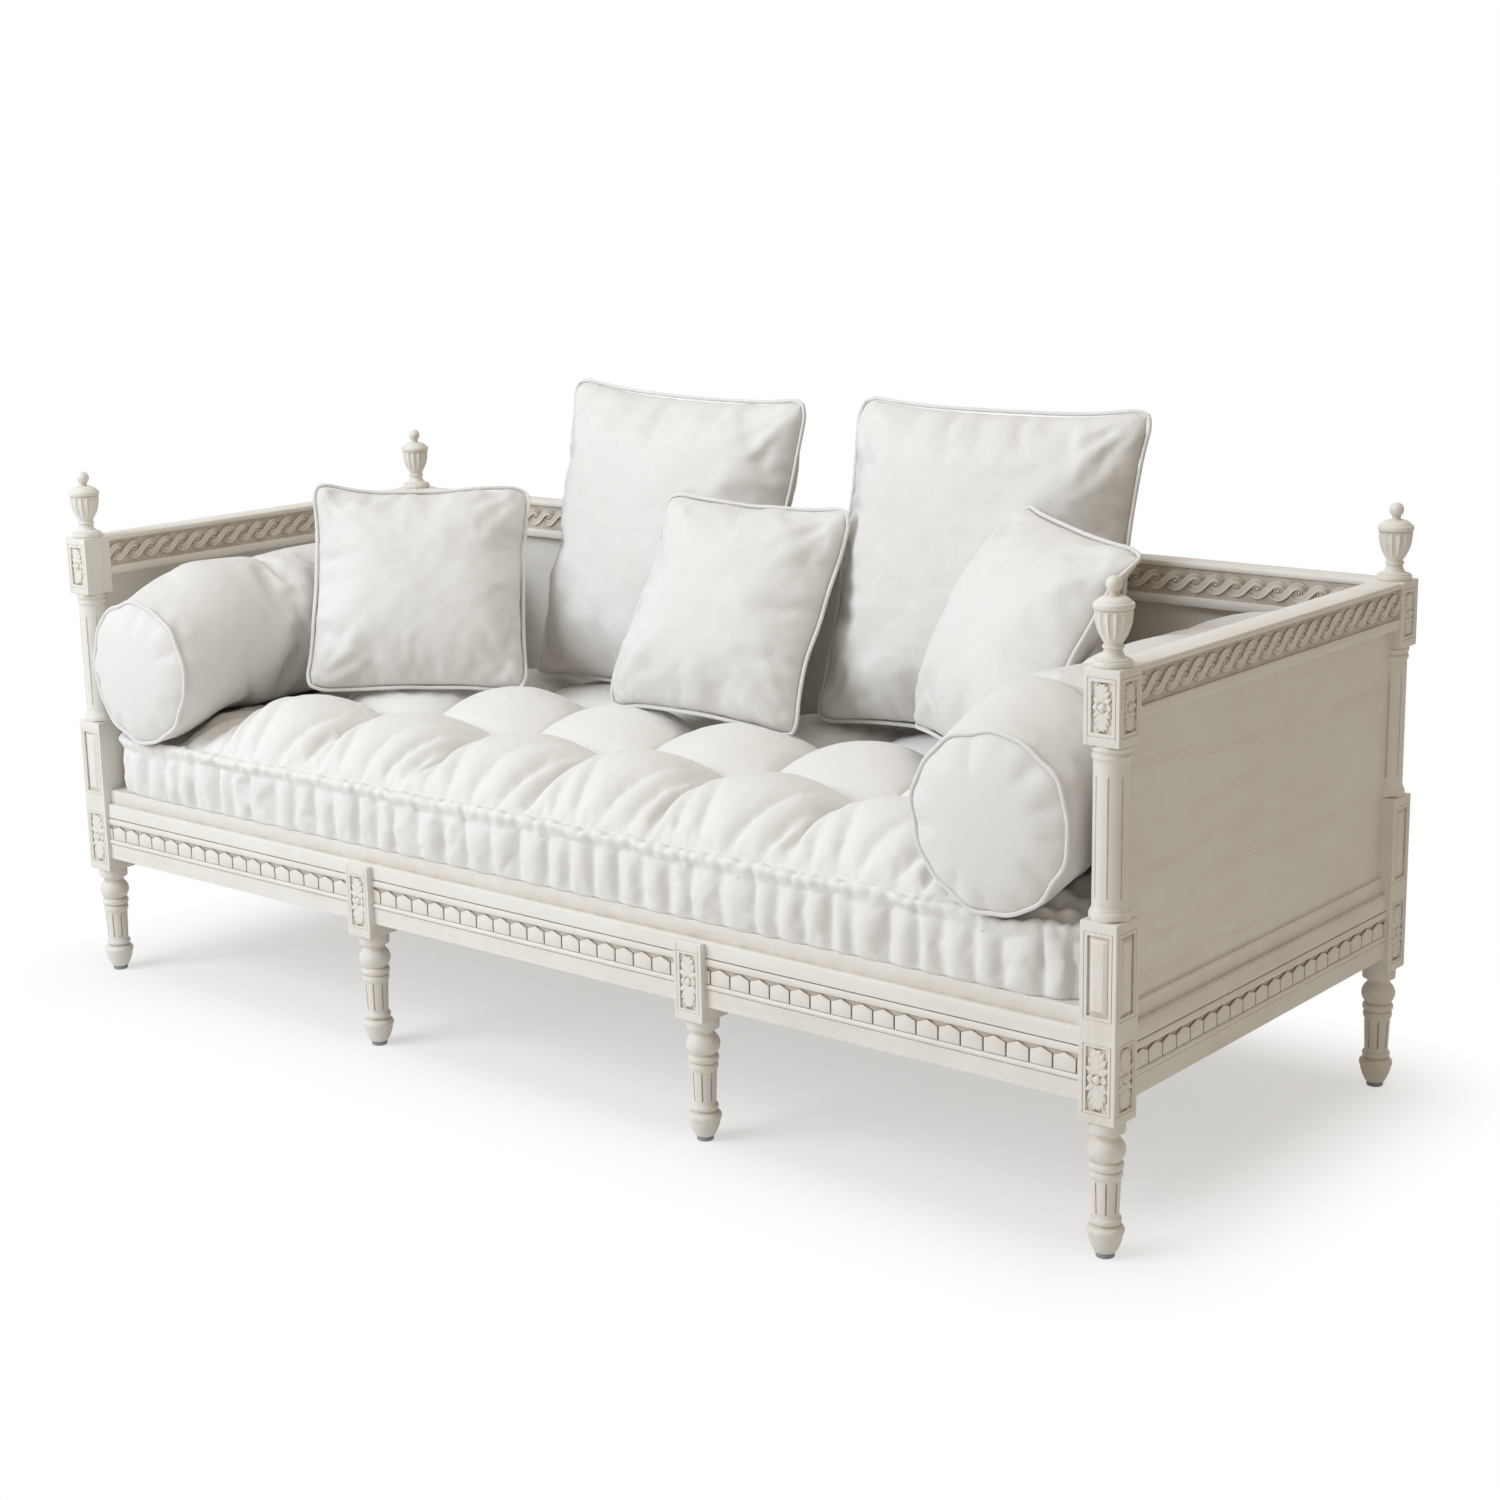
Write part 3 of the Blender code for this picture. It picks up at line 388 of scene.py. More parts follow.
def brushed_grain_group() -> bpy.types.NodeTree:
    """Makes the group for grain that shows faintly through brushed paint.

    Returns:
        A group with Streaks, Mottle and Height outputs.
    """
    board, given, result = new_group(
        "brushed_grain",
        [("Vector", "Vector", (0.0, 0.0, 0.0)), ("Stretch", "Vector", (1.0, 1.0, 1.0))],
        ("Streaks", "Mottle", "Height"),
    )
    long = board.add(
        "ShaderNodeVectorMath", {0: given.outputs[0], 1: given.outputs[1]}, operation="MULTIPLY"
    ).outputs[0]
    broad = board.noise(long, 1.6, 4.0, 0.55)
    fine = board.noise(long, 7.0, 5.0, 0.6)
    streaks = board.math("MULTIPLY", board.ease(broad, 0.48, 0.72), board.ease(fine, 0.36, 0.62))
    mottle = board.ease(board.noise(given.outputs[0], 9.0, 5.0, 0.62), 0.34, 0.68)
    brush = board.noise(long, 16.0, 2.0, 0.5)
    height = board.math("ADD", board.math("MULTIPLY", fine, 0.6), board.math("MULTIPLY", brush, 0.4))
    for name, value in (("Streaks", streaks), ("Mottle", mottle), ("Height", height)):
        board.tree.links.new(value, result.inputs[name])
    return board.tree


def antique_wash_group() -> bpy.types.NodeTree:
    """Makes the group for the brown wash left in carved hollows.

    Returns:
        A group with Heavy and Light outputs.
    """
    board, given, result = new_group(
        "antique_wash",
        [("Recess", "Float", 0.0), ("Vector", "Vector", (0.0, 0.0, 0.0))],
        ("Heavy", "Light"),
    )
    worn = board.noise(given.outputs[1], 42.0, 4.0, 0.6)
    uneven = board.math("ADD", given.outputs[0], board.math("MULTIPLY", worn, 0.34))
    board.tree.links.new(board.ease(uneven, 0.42, 0.82), result.inputs["Heavy"])
    board.tree.links.new(board.ease(uneven, 0.20, 0.52), result.inputs["Light"])
    return board.tree


def plain_weave_group() -> bpy.types.NodeTree:
    """Makes the group for plain-woven cloth that follows a UV map in metres.

    Returns:
        A group with Height, Slub and Shade outputs.
    """
    board, given, result = new_group(
        "plain_weave",
        [("UV", "Vector", (0.0, 0.0, 0.0)), ("Threads", "Float", 900.0)],
        ("Height", "Slub", "Shade"),
    )
    parts = board.add("ShaderNodeSeparateXYZ", {0: given.outputs[0]}).outputs
    across = board.math("MULTIPLY", parts[0], given.outputs[1])
    along = board.math("MULTIPLY", parts[1], given.outputs[1])
    warp = board.math("ABSOLUTE", board.math("SINE", board.math("MULTIPLY", across, math.pi)))
    weft = board.math("ABSOLUTE", board.math("SINE", board.math("MULTIPLY", along, math.pi)))
    cell = board.math("ADD", board.math("FLOOR", across), board.math("FLOOR", along))
    over = board.math("MODULO", board.math("ABSOLUTE", cell), 2.0)
    raised = board.add(
        "ShaderNodeMix", {0: over, 2: warp, 3: weft}, data_type="FLOAT"
    ).outputs[0]
    slubs = []
    for stretch in ((5.0, 260.0, 1.0), (260.0, 5.0, 1.0)):
        thread = board.add(
            "ShaderNodeVectorMath", {0: given.outputs[0], 1: stretch}, operation="MULTIPLY"
        ).outputs[0]
        slubs.append(board.noise(thread, 1.0, 2.0, 0.5))
    slub = board.ease(board.math("MAXIMUM", *slubs), 0.56, 0.86)
    shade = board.noise(given.outputs[0], 7.0, 4.0, 0.55)
    for name, value in (("Height", raised), ("Slub", slub), ("Shade", shade)):
        board.tree.links.new(value, result.inputs[name])
    return board.tree


def shared_group(name: str, maker: Callable[[], bpy.types.NodeTree]) -> bpy.types.NodeTree:
    """Gives the group of that name, made once."""
    return bpy.data.node_groups.get(name) or maker()


def new_material(name: str) -> tuple[bpy.types.Material, NodeBoard]:
    """Starts a node material.

    Args:
        name: The material's name.

    Returns:
        The material and its emptied board.
    """
    material = bpy.data.materials.new(name)
    material.use_nodes = True
    return material, NodeBoard(material.node_tree)


@dataclass(frozen=True)
class PaintedWood:
    """Ivory paint on carved wood, brushed thin, with a brown wash in the hollows."""

    name: str
    grain: Grain
    coat: Colour = (0.764, 0.735, 0.690)
    bare: Colour = (0.640, 0.520, 0.410)
    wash: Colour = (0.225, 0.150, 0.085)
    tint: Colour = (0.560, 0.480, 0.380)

    def material(self) -> bpy.types.Material:
        """Builds the finish.

        Returns:
            A material that reads the piece's recess.
        """
        material, board = new_material(self.name)
        place = board.add("ShaderNodeTexCoord").outputs["Object"]
        grain = board.add("ShaderNodeGroup", node_tree=shared_group("brushed_grain", brushed_grain_group))
        board.tree.links.new(place, grain.inputs["Vector"])
        grain.inputs["Stretch"].default_value = self.grain.value
        recess = board.add("ShaderNodeAttribute", attribute_name="recess").outputs["Fac"]
        wash = board.add("ShaderNodeGroup", node_tree=shared_group("antique_wash", antique_wash_group))
        board.tree.links.new(recess, wash.inputs["Recess"])
        board.tree.links.new(place, wash.inputs["Vector"])
        streaks = board.math("MULTIPLY", grain.outputs["Streaks"], 0.34)
        mottle = board.math("MULTIPLY", grain.outputs["Mottle"], 0.16)
        colour = board.mix(streaks, self.coat, self.bare)
        colour = board.mix(mottle, colour, self.tint)
        colour = board.mix(board.math("MULTIPLY", wash.outputs["Light"], 0.42), colour, self.tint)
        colour = board.mix(board.math("MULTIPLY", wash.outputs["Heavy"], 0.80), colour, self.wash)
        rough = board.math("ADD", board.math("MULTIPLY", grain.outputs["Height"], 0.22), 0.40)
        bump = board.add(
            "ShaderNodeBump",
            {"Height": grain.outputs["Height"], "Strength": 0.16, "Distance": 0.0008},
        )
        surface = board.add(
            "ShaderNodeBsdfPrincipled",
            {"Base Color": colour, "Roughness": rough, "Normal": bump.outputs[0], "Specular IOR Level": 0.35},
        )
        board.add("ShaderNodeOutputMaterial", {0: surface.outputs[0]})
        return material


@dataclass(frozen=True)
class BareWood:
    """Planed pine for the parts under the mattress."""

    name: str
    grain: Grain
    early: Colour = (0.700, 0.520, 0.330)
    late: Colour = (0.480, 0.310, 0.165)

    def material(self) -> bpy.types.Material:
        """Builds the finish.

        Returns:
            A material with growth rings drawn out along the board.
        """
        material, board = new_material(self.name)
        place = board.add("ShaderNodeTexCoord").outputs["Object"]
        grain = board.add("ShaderNodeGroup", node_tree=shared_group("brushed_grain", brushed_grain_group))
        board.tree.links.new(place, grain.inputs["Vector"])
        grain.inputs["Stretch"].default_value = self.grain.value
        rings = board.math("FRACT", board.math("MULTIPLY", grain.outputs["Height"], 9.0))
        colour = board.mix(board.math("MULTIPLY", board.ease(rings, 0.35, 0.95), 0.6), self.early, self.late)
        colour = board.mix(board.math("MULTIPLY", grain.outputs["Mottle"], 0.2), colour, self.late)
        bump = board.add(
            "ShaderNodeBump", {"Height": rings, "Strength": 0.12, "Distance": 0.0004}
        )
        surface = board.add(
            "ShaderNodeBsdfPrincipled",
            {"Base Color": colour, "Roughness": 0.62, "Normal": bump.outputs[0]},
        )
        board.add("ShaderNodeOutputMaterial", {0: surface.outputs[0]})
        return material


@dataclass(frozen=True)
class MouldedPlastic:
    """Grey plastic of the glides, finely textured and scuffed."""

    name: str = "glide_plastic"
    colour: Colour = (0.255, 0.285, 0.310)
    scuff: Colour = (0.420, 0.440, 0.450)

    def material(self) -> bpy.types.Material:
        """Builds the finish.

        Returns:
            The material.
        """
        material, board = new_material(self.name)
        place = board.add("ShaderNodeTexCoord").outputs["Object"]
        speck = board.noise(place, 900.0, 2.0, 0.5)
        scuffs = board.ease(board.noise(place, 120.0, 4.0, 0.6), 0.56, 0.74)
        colour = board.mix(board.math("MULTIPLY", scuffs, 0.5), self.colour, self.scuff)
        rough = board.math("ADD", board.math("MULTIPLY", scuffs, 0.2), 0.48)
        bump = board.add("ShaderNodeBump", {"Height": speck, "Strength": 0.2, "Distance": 0.0002})
        surface = board.add(
            "ShaderNodeBsdfPrincipled",
            {"Base Color": colour, "Roughness": rough, "Normal": bump.outputs[0]},
        )
        board.add("ShaderNodeOutputMaterial", {0: surface.outputs[0]})
        return material


@dataclass(frozen=True)
class CottonCloth:
    """Off-white plain-woven cotton."""

    name: str
    colour: Colour = (0.757, 0.737, 0.716)
    # darker colour for slubs and random patches, and for the painted shade in recesses
    shaded: Colour = (0.665, 0.636, 0.592)
    threads: float = 900.0

    def material(self) -> bpy.types.Material:
        """Builds the finish.

        Returns:
            A material that reads the piece's UV map, in metres.
        """
        material, board = new_material(self.name)
        place = board.add("ShaderNodeUVMap", uv_map="weave").outputs[0]
        weave = board.add("ShaderNodeGroup", node_tree=shared_group("plain_weave", plain_weave_group))
        board.tree.links.new(place, weave.inputs["UV"])
        weave.inputs["Threads"].default_value = self.threads
        recess = board.add("ShaderNodeAttribute", attribute_name="recess").outputs["Fac"]
        colour = board.mix(board.math("MULTIPLY", weave.outputs["Slub"], 0.22), self.colour, self.shaded)
        shade = board.math("MULTIPLY", board.ease(weave.outputs["Shade"], 0.4, 0.7), 0.12)
        colour = board.mix(shade, colour, self.shaded)
        # painted shade: the recess mask darkens the cloth towards the shaded colour in hollows
        colour = board.mix(board.math("MULTIPLY", recess, 0.35), colour, self.shaded)
        height = board.math("ADD", weave.outputs["Height"], board.math("MULTIPLY", weave.outputs["Slub"], 0.8))
        bump = board.add("ShaderNodeBump", {"Height": height, "Strength": 0.28, "Distance": 0.0004})
        surface = board.add(
            "ShaderNodeBsdfPrincipled",
            {
                "Base Color": colour,
                "Roughness": 0.92,
                "Normal": bump.outputs[0],
                "Sheen Weight": 0.12,
                "Sheen Roughness": 0.5,
                "Specular IOR Level": 0.2,
            },
        )
        board.add("ShaderNodeOutputMaterial", {0: surface.outputs[0]})
        return material


# ---------------------------------------------------------------- turned work


class Turning:
    """Draws the outline of a turned piece from the foot up and turns it."""

    def __init__(self, foot: float) -> None:
        """Starts on the axis at the foot's height."""
        self.outline: list[tuple[float, float]] = [(0.0, foot)]

    def to(self, radius: float, height: float) -> "Turning":
        """Goes straight to a radius and height."""
        self.outline.append((radius, height))
        return self

    def arc(self, radius: float, height: float, bulge: float, steps: int = 8) -> "Turning":
        """Curves to a radius and height, swelling outwards by bulge midway.

        Args:
            radius: The radius to end at.
            height: The height to end at.
            bulge: How far it stands out midway.
            steps: How many corners it takes.

        Returns:
            This turning, to go on with.
        """
        r0, z0 = self.outline[-1]
        length = math.hypot(radius - r0, height - z0)
        out_r, out_z = (height - z0) / length, -(radius - r0) / length
        for i in range(1, steps + 1):
            t = i / steps
            push = 4.0 * t * (1.0 - t) * bulge
            self.outline.append((r0 + t * (radius - r0) + push * out_r, z0 + t * (height - z0) + push * out_z))
        return self

    def bead(self, radius: float, height: float, bulge: float, steps: int = 8) -> "Turning":
        """Goes to a radius and height in a half round that stands out by bulge.

        Args:
            radius: The radius to end at.
            height: The height to end at.
            bulge: How far it stands out midway.
            steps: How many corners it takes.

        Returns:
            This turning, to go on with.
        """
        r0, z0 = self.outline[-1]
        for i in range(1, steps + 1):
            angle = math.pi * i / steps
            t = 0.5 - 0.5 * math.cos(angle)
            self.outline.append((r0 + t * (radius - r0) + bulge * math.sin(angle), z0 + t * (height - z0)))
        return self

    def rows(self, radius: float, heights: Sequence[float]) -> "Turning":
        """Goes straight to a radius at the last height, with a ring at each height.

        Args:
            radius: The radius to end at.
            heights: The rings' heights in order.

        Returns:
            This turning, to go on with.
        """
        r0, z0 = self.outline[-1]
        for z in heights:
            self.outline.append((r0 + (radius - r0) * (z - z0) / (heights[-1] - z0), z))
        return self

    def turned(self, angles: np.ndarray, cut: Callable[[np.ndarray, np.ndarray], np.ndarray] | None = None) -> Shape:
        """Turns the outline about the upright axis.

        Args:
            angles: Where the corners of each ring lie, in radians.
            cut: Gives how deep a flute is cut at an angle and height.

        Returns:
            The closed shape.
        """
        self.outline.append((0.0, self.outline[-1][1]))
        radius = np.array([r for r, _ in self.outline])[:, None]
        height = np.array([z for _, z in self.outline])[:, None]
        around = angles[None, :]
        depth = cut(around, height) if cut else np.zeros_like(around)
        reach = radius - depth * (radius > 0.0)
        points = np.stack(
            [reach * np.cos(around), reach * np.sin(around), np.broadcast_to(height, reach.shape)], axis=-1
        )
        return Shape(points.reshape(-1, 3), grid_faces(len(radius), len(angles), wrap=True))


@dataclass(frozen=True)
class Flutes:
    """Narrow grooves cut down a turned shaft, round at both ends."""

    count: int
    half_width: float
    depth: float
    low: float
    high: float
    end: float = 0.0026

    def angles(self) -> np.ndarray:
        """Gives ring corners that crowd into the grooves.

        Returns:
            The angles of one ring's corners.
        """
        pitch = 2.0 * math.pi / self.count
        inside = np.array([-1.08, -0.9, -0.55, 0.0, 0.55, 0.9, 1.08]) * self.half_width
        land = np.linspace(self.half_width * 1.08, pitch - self.half_width * 1.08, 6)[1:-1]
        one = np.concatenate([inside, land])
        return np.concatenate([one + pitch * (i + 0.5) for i in range(self.count)])

    def heights(self, low: float, high: float) -> list[float]:
        """Gives ring heights that crowd at the groove ends.

        Args:
            low: Where the rings start.
            high: Where they end.

        Returns:
            The heights in order.
        """
        near = [0.0, 0.0004, 0.0010, 0.0018, self.end]
        middle = np.linspace(self.low + 0.012, self.high - 0.012, 5)
        rows = [self.low + n for n in near] + list(middle) + [self.high - n for n in reversed(near)]
        return [r for r in rows if low < r < high] + [high]

    def cut(self, angle: np.ndarray, height: np.ndarray) -> np.ndarray:
        """Gives the groove's depth at angles and heights.

        Args:
            angle: Angles round the axis.
            height: Heights along it.

        Returns:
            Depths, in metres.
        """
        pitch = 2.0 * math.pi / self.count
        off = (angle % pitch - 0.5 * pitch) / self.half_width
        across = np.sqrt(np.clip(1.0 - off * off, 0.0, 1.0))
        into = np.minimum(height - self.low, self.high - height)
        short = np.clip(1.0 - into / self.end, 0.0, 1.0)
        along = np.where(into < 0.0, 0.0, np.sqrt(np.clip(1.0 - short * short, 0.0, 1.0)))
        return self.depth * across * along


# ---------------------------------------------------------------- carved work


class Relief:
    """Something carved into a block face, in its own u (across) and v (up)."""

    def height(self, u: np.ndarray, v: np.ndarray) -> np.ndarray:
        """Gives how far the face stands out, negative where it is cut."""
        raise NotImplementedError

    def keep(self) -> tuple[list[float], list[float], tuple[float, float]]:
        """Gives the columns and rows that must be there, and the rows to fill closely."""
        raise NotImplementedError


@dataclass(frozen=True)
class Rosette(Relief):
    """An upright leaf rosette with a round boss in a sunk field inside an incised line."""

    centre: float
    half_width: float
    half_height: float
    frame_u: float
    frame_v: float
    sink: float = 0.0032
    boss: float = 0.0062

    def petals(self) -> list[tuple[float, float, float, float, float]]:
        """Lists the upper leaf's lobes: foot u and v, lean from upright, length, width.

        Returns:
            The lobes, in shares of the field.
        """
        lobes = [(0.0, 0.10, 0.0, 0.84, 0.34)]
        for side in (-1.0, 1.0):
            lobes += [
                (side * 0.10, 0.50, side * 0.50, 0.42, 0.22),
                (side * 0.12, 0.32, side * 0.70, 0.44, 0.24),
                (side * 0.12, 0.14, side * 0.98, 0.42, 0.24),
                (side * 0.06, 0.70, side * 0.34, 0.27, 0.18),
            ]
        return lobes

    def height(self, u: np.ndarray, v: np.ndarray) -> np.ndarray:
        """Gives the carved height over a grid.

        Args:
            u: Places across the face.
            v: Places up the face.

        Returns:
            Heights over the face.
        """
        v = v - self.centre
        inset = np.minimum(self.half_width - np.abs(u), self.half_height - np.abs(v))
        floor = -self.sink * smooth_step(-0.0002, 0.0009, inset)
        scale_u, scale_v = self.half_width, self.half_height
        carved = np.full(np.broadcast(u, v).shape, -self.sink)
        up = np.abs(v)
        reach = scale_v
        for foot_u, foot_v, lean, length, width in self.petals():
            su = u - foot_u * scale_u
            sv = up - foot_v * scale_v
            along = (su * math.sin(lean) + sv * math.cos(lean)) / (length * reach)
            across = (su * math.cos(lean) - sv * math.sin(lean)) / (width * reach)
            inside = np.clip(along, 0.0, 1.0)
            half = 0.5 * np.sin(math.pi * inside**0.8) ** 0.62 + 1e-6
            t = np.clip(np.abs(across) / half, 0.0, 1.0)
            on = (along > 0.0) & (along < 1.0) & (t < 1.0)
            body = np.sqrt(1.0 - t * t) * (0.66 + 0.34 * np.sin(math.pi * inside))
            vein = 0.24 * np.exp(-((across / 0.09) ** 2)) * (1.0 - inside)
            lobe = -self.sink + self.sink * 1.04 * np.clip(body - vein, 0.0, 1.0)
            carved = np.maximum(carved, np.where(on, lobe, -self.sink))
        side = np.abs(u)
        along = (side - 0.30 * scale_u) / (0.66 * scale_u)
        half = 0.17 * scale_v * np.sin(math.pi * np.clip(along, 0.0, 1.0) ** 0.8) ** 0.7 + 1e-6
        t = np.clip(up / half, 0.0, 1.0)
        body = np.sqrt(1.0 - t * t) * (1.0 - 0.22 * np.exp(-((v / 0.0008) ** 2)))
        on = (along > 0.0) & (along < 1.0) & (t < 1.0)
        carved = np.maximum(carved, np.where(on, -self.sink + self.sink * body, -self.sink))
        field = np.where(inset > 0.0, np.maximum(floor, np.minimum(carved, 0.0)), 0.0)
        field = np.where(inset < 0.0009, np.maximum(field, floor), field)
        away = np.hypot(u, v)
        ring = away / self.boss
        dome = np.sqrt(np.clip(1.0 - ring * ring, 0.0, 1.0))
        moat = np.exp(-(((away - self.boss - 0.0009) / 0.0008) ** 2))
        field = field - 0.0012 * moat
        field = np.where(ring < 1.0, -self.sink * 0.5 + (self.sink * 0.5 + 0.0022) * dome, field)
        line = np.maximum(np.abs(u) / self.frame_u, np.abs(v) / self.frame_v)
        gap = np.minimum(np.abs(np.abs(u) - self.frame_u), np.abs(np.abs(v) - self.frame_v))
        gap = np.where((np.abs(u) > self.frame_u + 0.0007) | (np.abs(v) > self.frame_v + 0.0007), 1.0, gap)
        gap = np.where((line < 1.0) & (inset > 0.0), 1.0, gap)
        return field - 0.0011 * np.clip(1.0 - gap / 0.0007, 0.0, 1.0)

    def keep(self) -> tuple[list[float], list[float], tuple[float, float]]:
        """Gives the exact and the close grid lines.

        Returns:
            Exact columns, exact rows, and the span of rows that are filled closely.
        """
        columns, rows = [], []
        for side in (-1.0, 1.0):
            columns += [side * (self.frame_u + d) for d in (-0.0007, 0.0, 0.0007)]
            columns += [side * (self.half_width + d) for d in (0.0002, -0.0004, -0.0009)]
            rows += [self.centre + side * (self.frame_v + d) for d in (-0.0007, 0.0, 0.0007)]
            rows += [self.centre + side * (self.half_height + d) for d in (0.0002, -0.0004, -0.0009)]
        return columns, rows, (self.centre - self.half_height, self.centre + self.half_height)


@dataclass(frozen=True)
class RaisedPanel(Relief):
    """A bevelled raised panel in a sunk field inside an incised line."""

    low: float
    high: float
    half_width: float
    margin: float = 0.0048
    sink: float = 0.0034

    def profile(self) -> tuple[list[float], list[float]]:
        """Gives distances in from the field's edge and the height at each.

        Returns:
            The distances and the heights.
        """
        m = self.margin
        return (
            [-m - 0.0007, -m, -m + 0.0007, -0.0003, 0.0004, 0.0026, 0.0032, 0.0080, 0.0084],
            [0.0, -0.0010, 0.0, 0.0, -self.sink, -self.sink, -self.sink * 0.80, -0.0004, 0.0],
        )

    def height(self, u: np.ndarray, v: np.ndarray) -> np.ndarray:
        """Gives the carved height over a grid.

        Args:
            u: Places across the face.
            v: Places up the face.

        Returns:
            Heights over the face.
        """
        middle, half = 0.5 * (self.low + self.high), 0.5 * (self.high - self.low)
        inset = np.minimum(self.half_width - np.abs(u), half - np.abs(v - middle))
        return np.interp(inset, *self.profile())

    def keep(self) -> tuple[list[float], list[float], tuple[float, float]]:
        """Gives the exact grid lines; none are filled closely.

        Returns:
            Exact columns, exact rows, and the span of rows that are filled closely.
        """
        steps = self.profile()[0]
        columns = [side * (self.half_width - d) for d in steps for side in (-1.0, 1.0)]
        rows = [self.low + d for d in steps] + [self.high - d for d in steps]
        return columns, rows, (self.low, self.low)


class Side(Enum):
    """An upright side of a block, as the turn from the one that faces the front."""

    FRONT = 0
    RIGHT = 1
    BACK = 2
    LEFT = 3


@dataclass(frozen=True)
class CarvedBlock:
    """An upright block with eased edges and carving on some of its sides."""

    half_x: float
    half_y: float
    low: float
    high: float
    edge: float = 0.0012
    step: float = 0.00095

    def shape(self, carving: dict[Side, list[Relief]]) -> Shape:
        """Builds the block about its own upright axis.

        Args:
            carving: The reliefs on each carved side.

        Returns:
            The closed shape.
        """
        rows = [self.low + self.edge, self.high - self.edge]
        for relief in [r for reliefs in carving.values() for r in reliefs]:
            _, exact, (start, stop) = relief.keep()
            rows += exact
            if stop > start:
                rows += list(lines_between(start, stop, self.step, exact))
        flat_rows = np.unique(np.round([r for r in rows if self.low + self.edge <= r <= self.high - self.edge], 7))
        bend = np.radians([30.0, 60.0, 90.0])
        rise = self.edge * np.sin(bend)
        fall = self.edge * (1.0 - np.cos(bend))
        v = np.concatenate([(self.low + self.edge - rise)[::-1], flat_rows, self.high - self.edge + rise])
        drop_v = np.concatenate([fall[::-1], np.zeros(len(flat_rows)), fall])
        sides, ends = [], {0: [], -1: []}
        start = 0
        for side in Side:
            reliefs = carving.get(side, [])
            across = self.half_x if side.value % 2 == 0 else self.half_y
            out = self.half_y if side.value % 2 == 0 else self.half_x
            exact = [c for r in reliefs for c in r.keep()[0]]
            inner = across - self.edge
            flat = lines_between(-inner, inner, self.step if reliefs else 2.0 * inner, exact)
            bend = np.radians([15.0, 30.0, 45.0])
            rise = self.edge * np.sin(bend)
            fall = self.edge * (1.0 - np.cos(bend))
            u = np.concatenate([(-inner - rise)[::-1], flat, inner + rise])
            drop_u = np.concatenate([fall[::-1], np.zeros(len(flat)), fall])
            grid_u, grid_v = np.meshgrid(u, v)
            face = np.zeros_like(grid_u)
            for relief in reliefs:
                face += relief.height(grid_u, grid_v)
            depth = out - drop_u[None, :] - drop_v[:, None] + face
            wide = grid_u * (1.0 - drop_v[:, None] / across)
            turn = 0.5 * math.pi * side.value
            x = wide * math.cos(turn) + depth * math.sin(turn)
            y = wide * math.sin(turn) - depth * math.cos(turn)
            sides.append(Shape(np.stack([x, y, grid_v], axis=-1).reshape(-1, 3), grid_faces(len(v), len(u))))
            ends[0] += [start + c for c in range(len(u))]
            ends[-1] += [start + (len(v) - 1) * len(u) + c for c in range(len(u))]
            start += len(u) * len(v)
        block = Shape.join(sides)
        block.faces += [tuple(reversed(ends[0])), tuple(ends[-1])]
        return block


def drawn_along(outline: Sequence[tuple[float, float]], length: float) -> Shape:
    """Draws a moulding outline out along x, with its face to the front.

    Args:
        outline: How far out and how high each corner is, anticlockwise seen from the right end.
        length: The moulding's length, centred on the origin.

    Returns:
        The closed shape with its recess filled in.
    """
    corners = np.array(outline)
    stations = np.array([-0.5, -0.499, 0.499, 0.5]) * length
    points = np.array([(x, -out, z) for x in stations for out, z in corners])
    count = len(corners)
    sides = [tuple(reversed(face)) for face in grid_faces(len(stations), count, wrap=True)]
    ends = [tuple(range(count)), tuple(reversed(range(3 * count, 4 * count)))]
    shape = Shape(points, sides + ends)
    probe = Shape(np.array([(x, -out, z) for x in (-0.1, 0.0, 0.1) for out, z in corners]), grid_sides(count))
    ring = probe.hollowed(0.010, 24).recess[count : 2 * count]
    shape.recess = np.tile(ring, len(stations))
    return shape


def grid_sides(count: int) -> list[tuple[int, ...]]:
    """Lists the quads of three rings drawn along x, faces outwards."""
    return [tuple(reversed(face)) for face in grid_faces(3, count, wrap=True)]


def half_round(
    low: tuple[float, float], high: tuple[float, float], bulge: float, steps: int = 7
) -> list[tuple[float, float]]:
    """Gives the corners of a bead from low to high that stands out by bulge.

    Args:
        low: Where the bead starts, out and up.
        high: Where it ends.
        bulge: How far it stands out midway.
        steps: How many corners it takes.

    Returns:
        The corners, out and up.
    """
    corners = []
    for i in range(steps + 1):
        angle = math.pi * i / steps
        t = 0.5 - 0.5 * math.cos(angle)
        corners.append((low[0] + t * (high[0] - low[0]) + bulge * math.sin(angle), low[1] + t * (high[1] - low[1])))
    return corners


def placed(centre: tuple[float, float, float], turn: float = 0.0) -> Matrix:
    """Gives a placing turned about the upright axis by so many degrees."""
    return Matrix.Translation(centre) @ Matrix.Rotation(math.radians(turn), 4, "Z")


# ---------------------------------------------------------------- repeats


def new_geometry_tree(name: str, inputs: dict[str, str]) -> tuple[NodeBoard, bpy.types.Node]:
    """Starts a geometry tree.

    Args:
        name: The tree's name.
        inputs: Socket kind of each input, by label.

    Returns:
        The board to add nodes on, and the node that gives the inputs.
    """
    tree = bpy.data.node_groups.new(name, "GeometryNodeTree")
    tree.is_modifier = True
    for label, kind in inputs.items():
        tree.interface.new_socket(label, in_out="INPUT", socket_type="NodeSocket" + kind)
    tree.interface.new_socket("Geometry", in_out="OUTPUT", socket_type="NodeSocketGeometry")
    board = NodeBoard(tree)
    return board, board.add("NodeGroupInput")


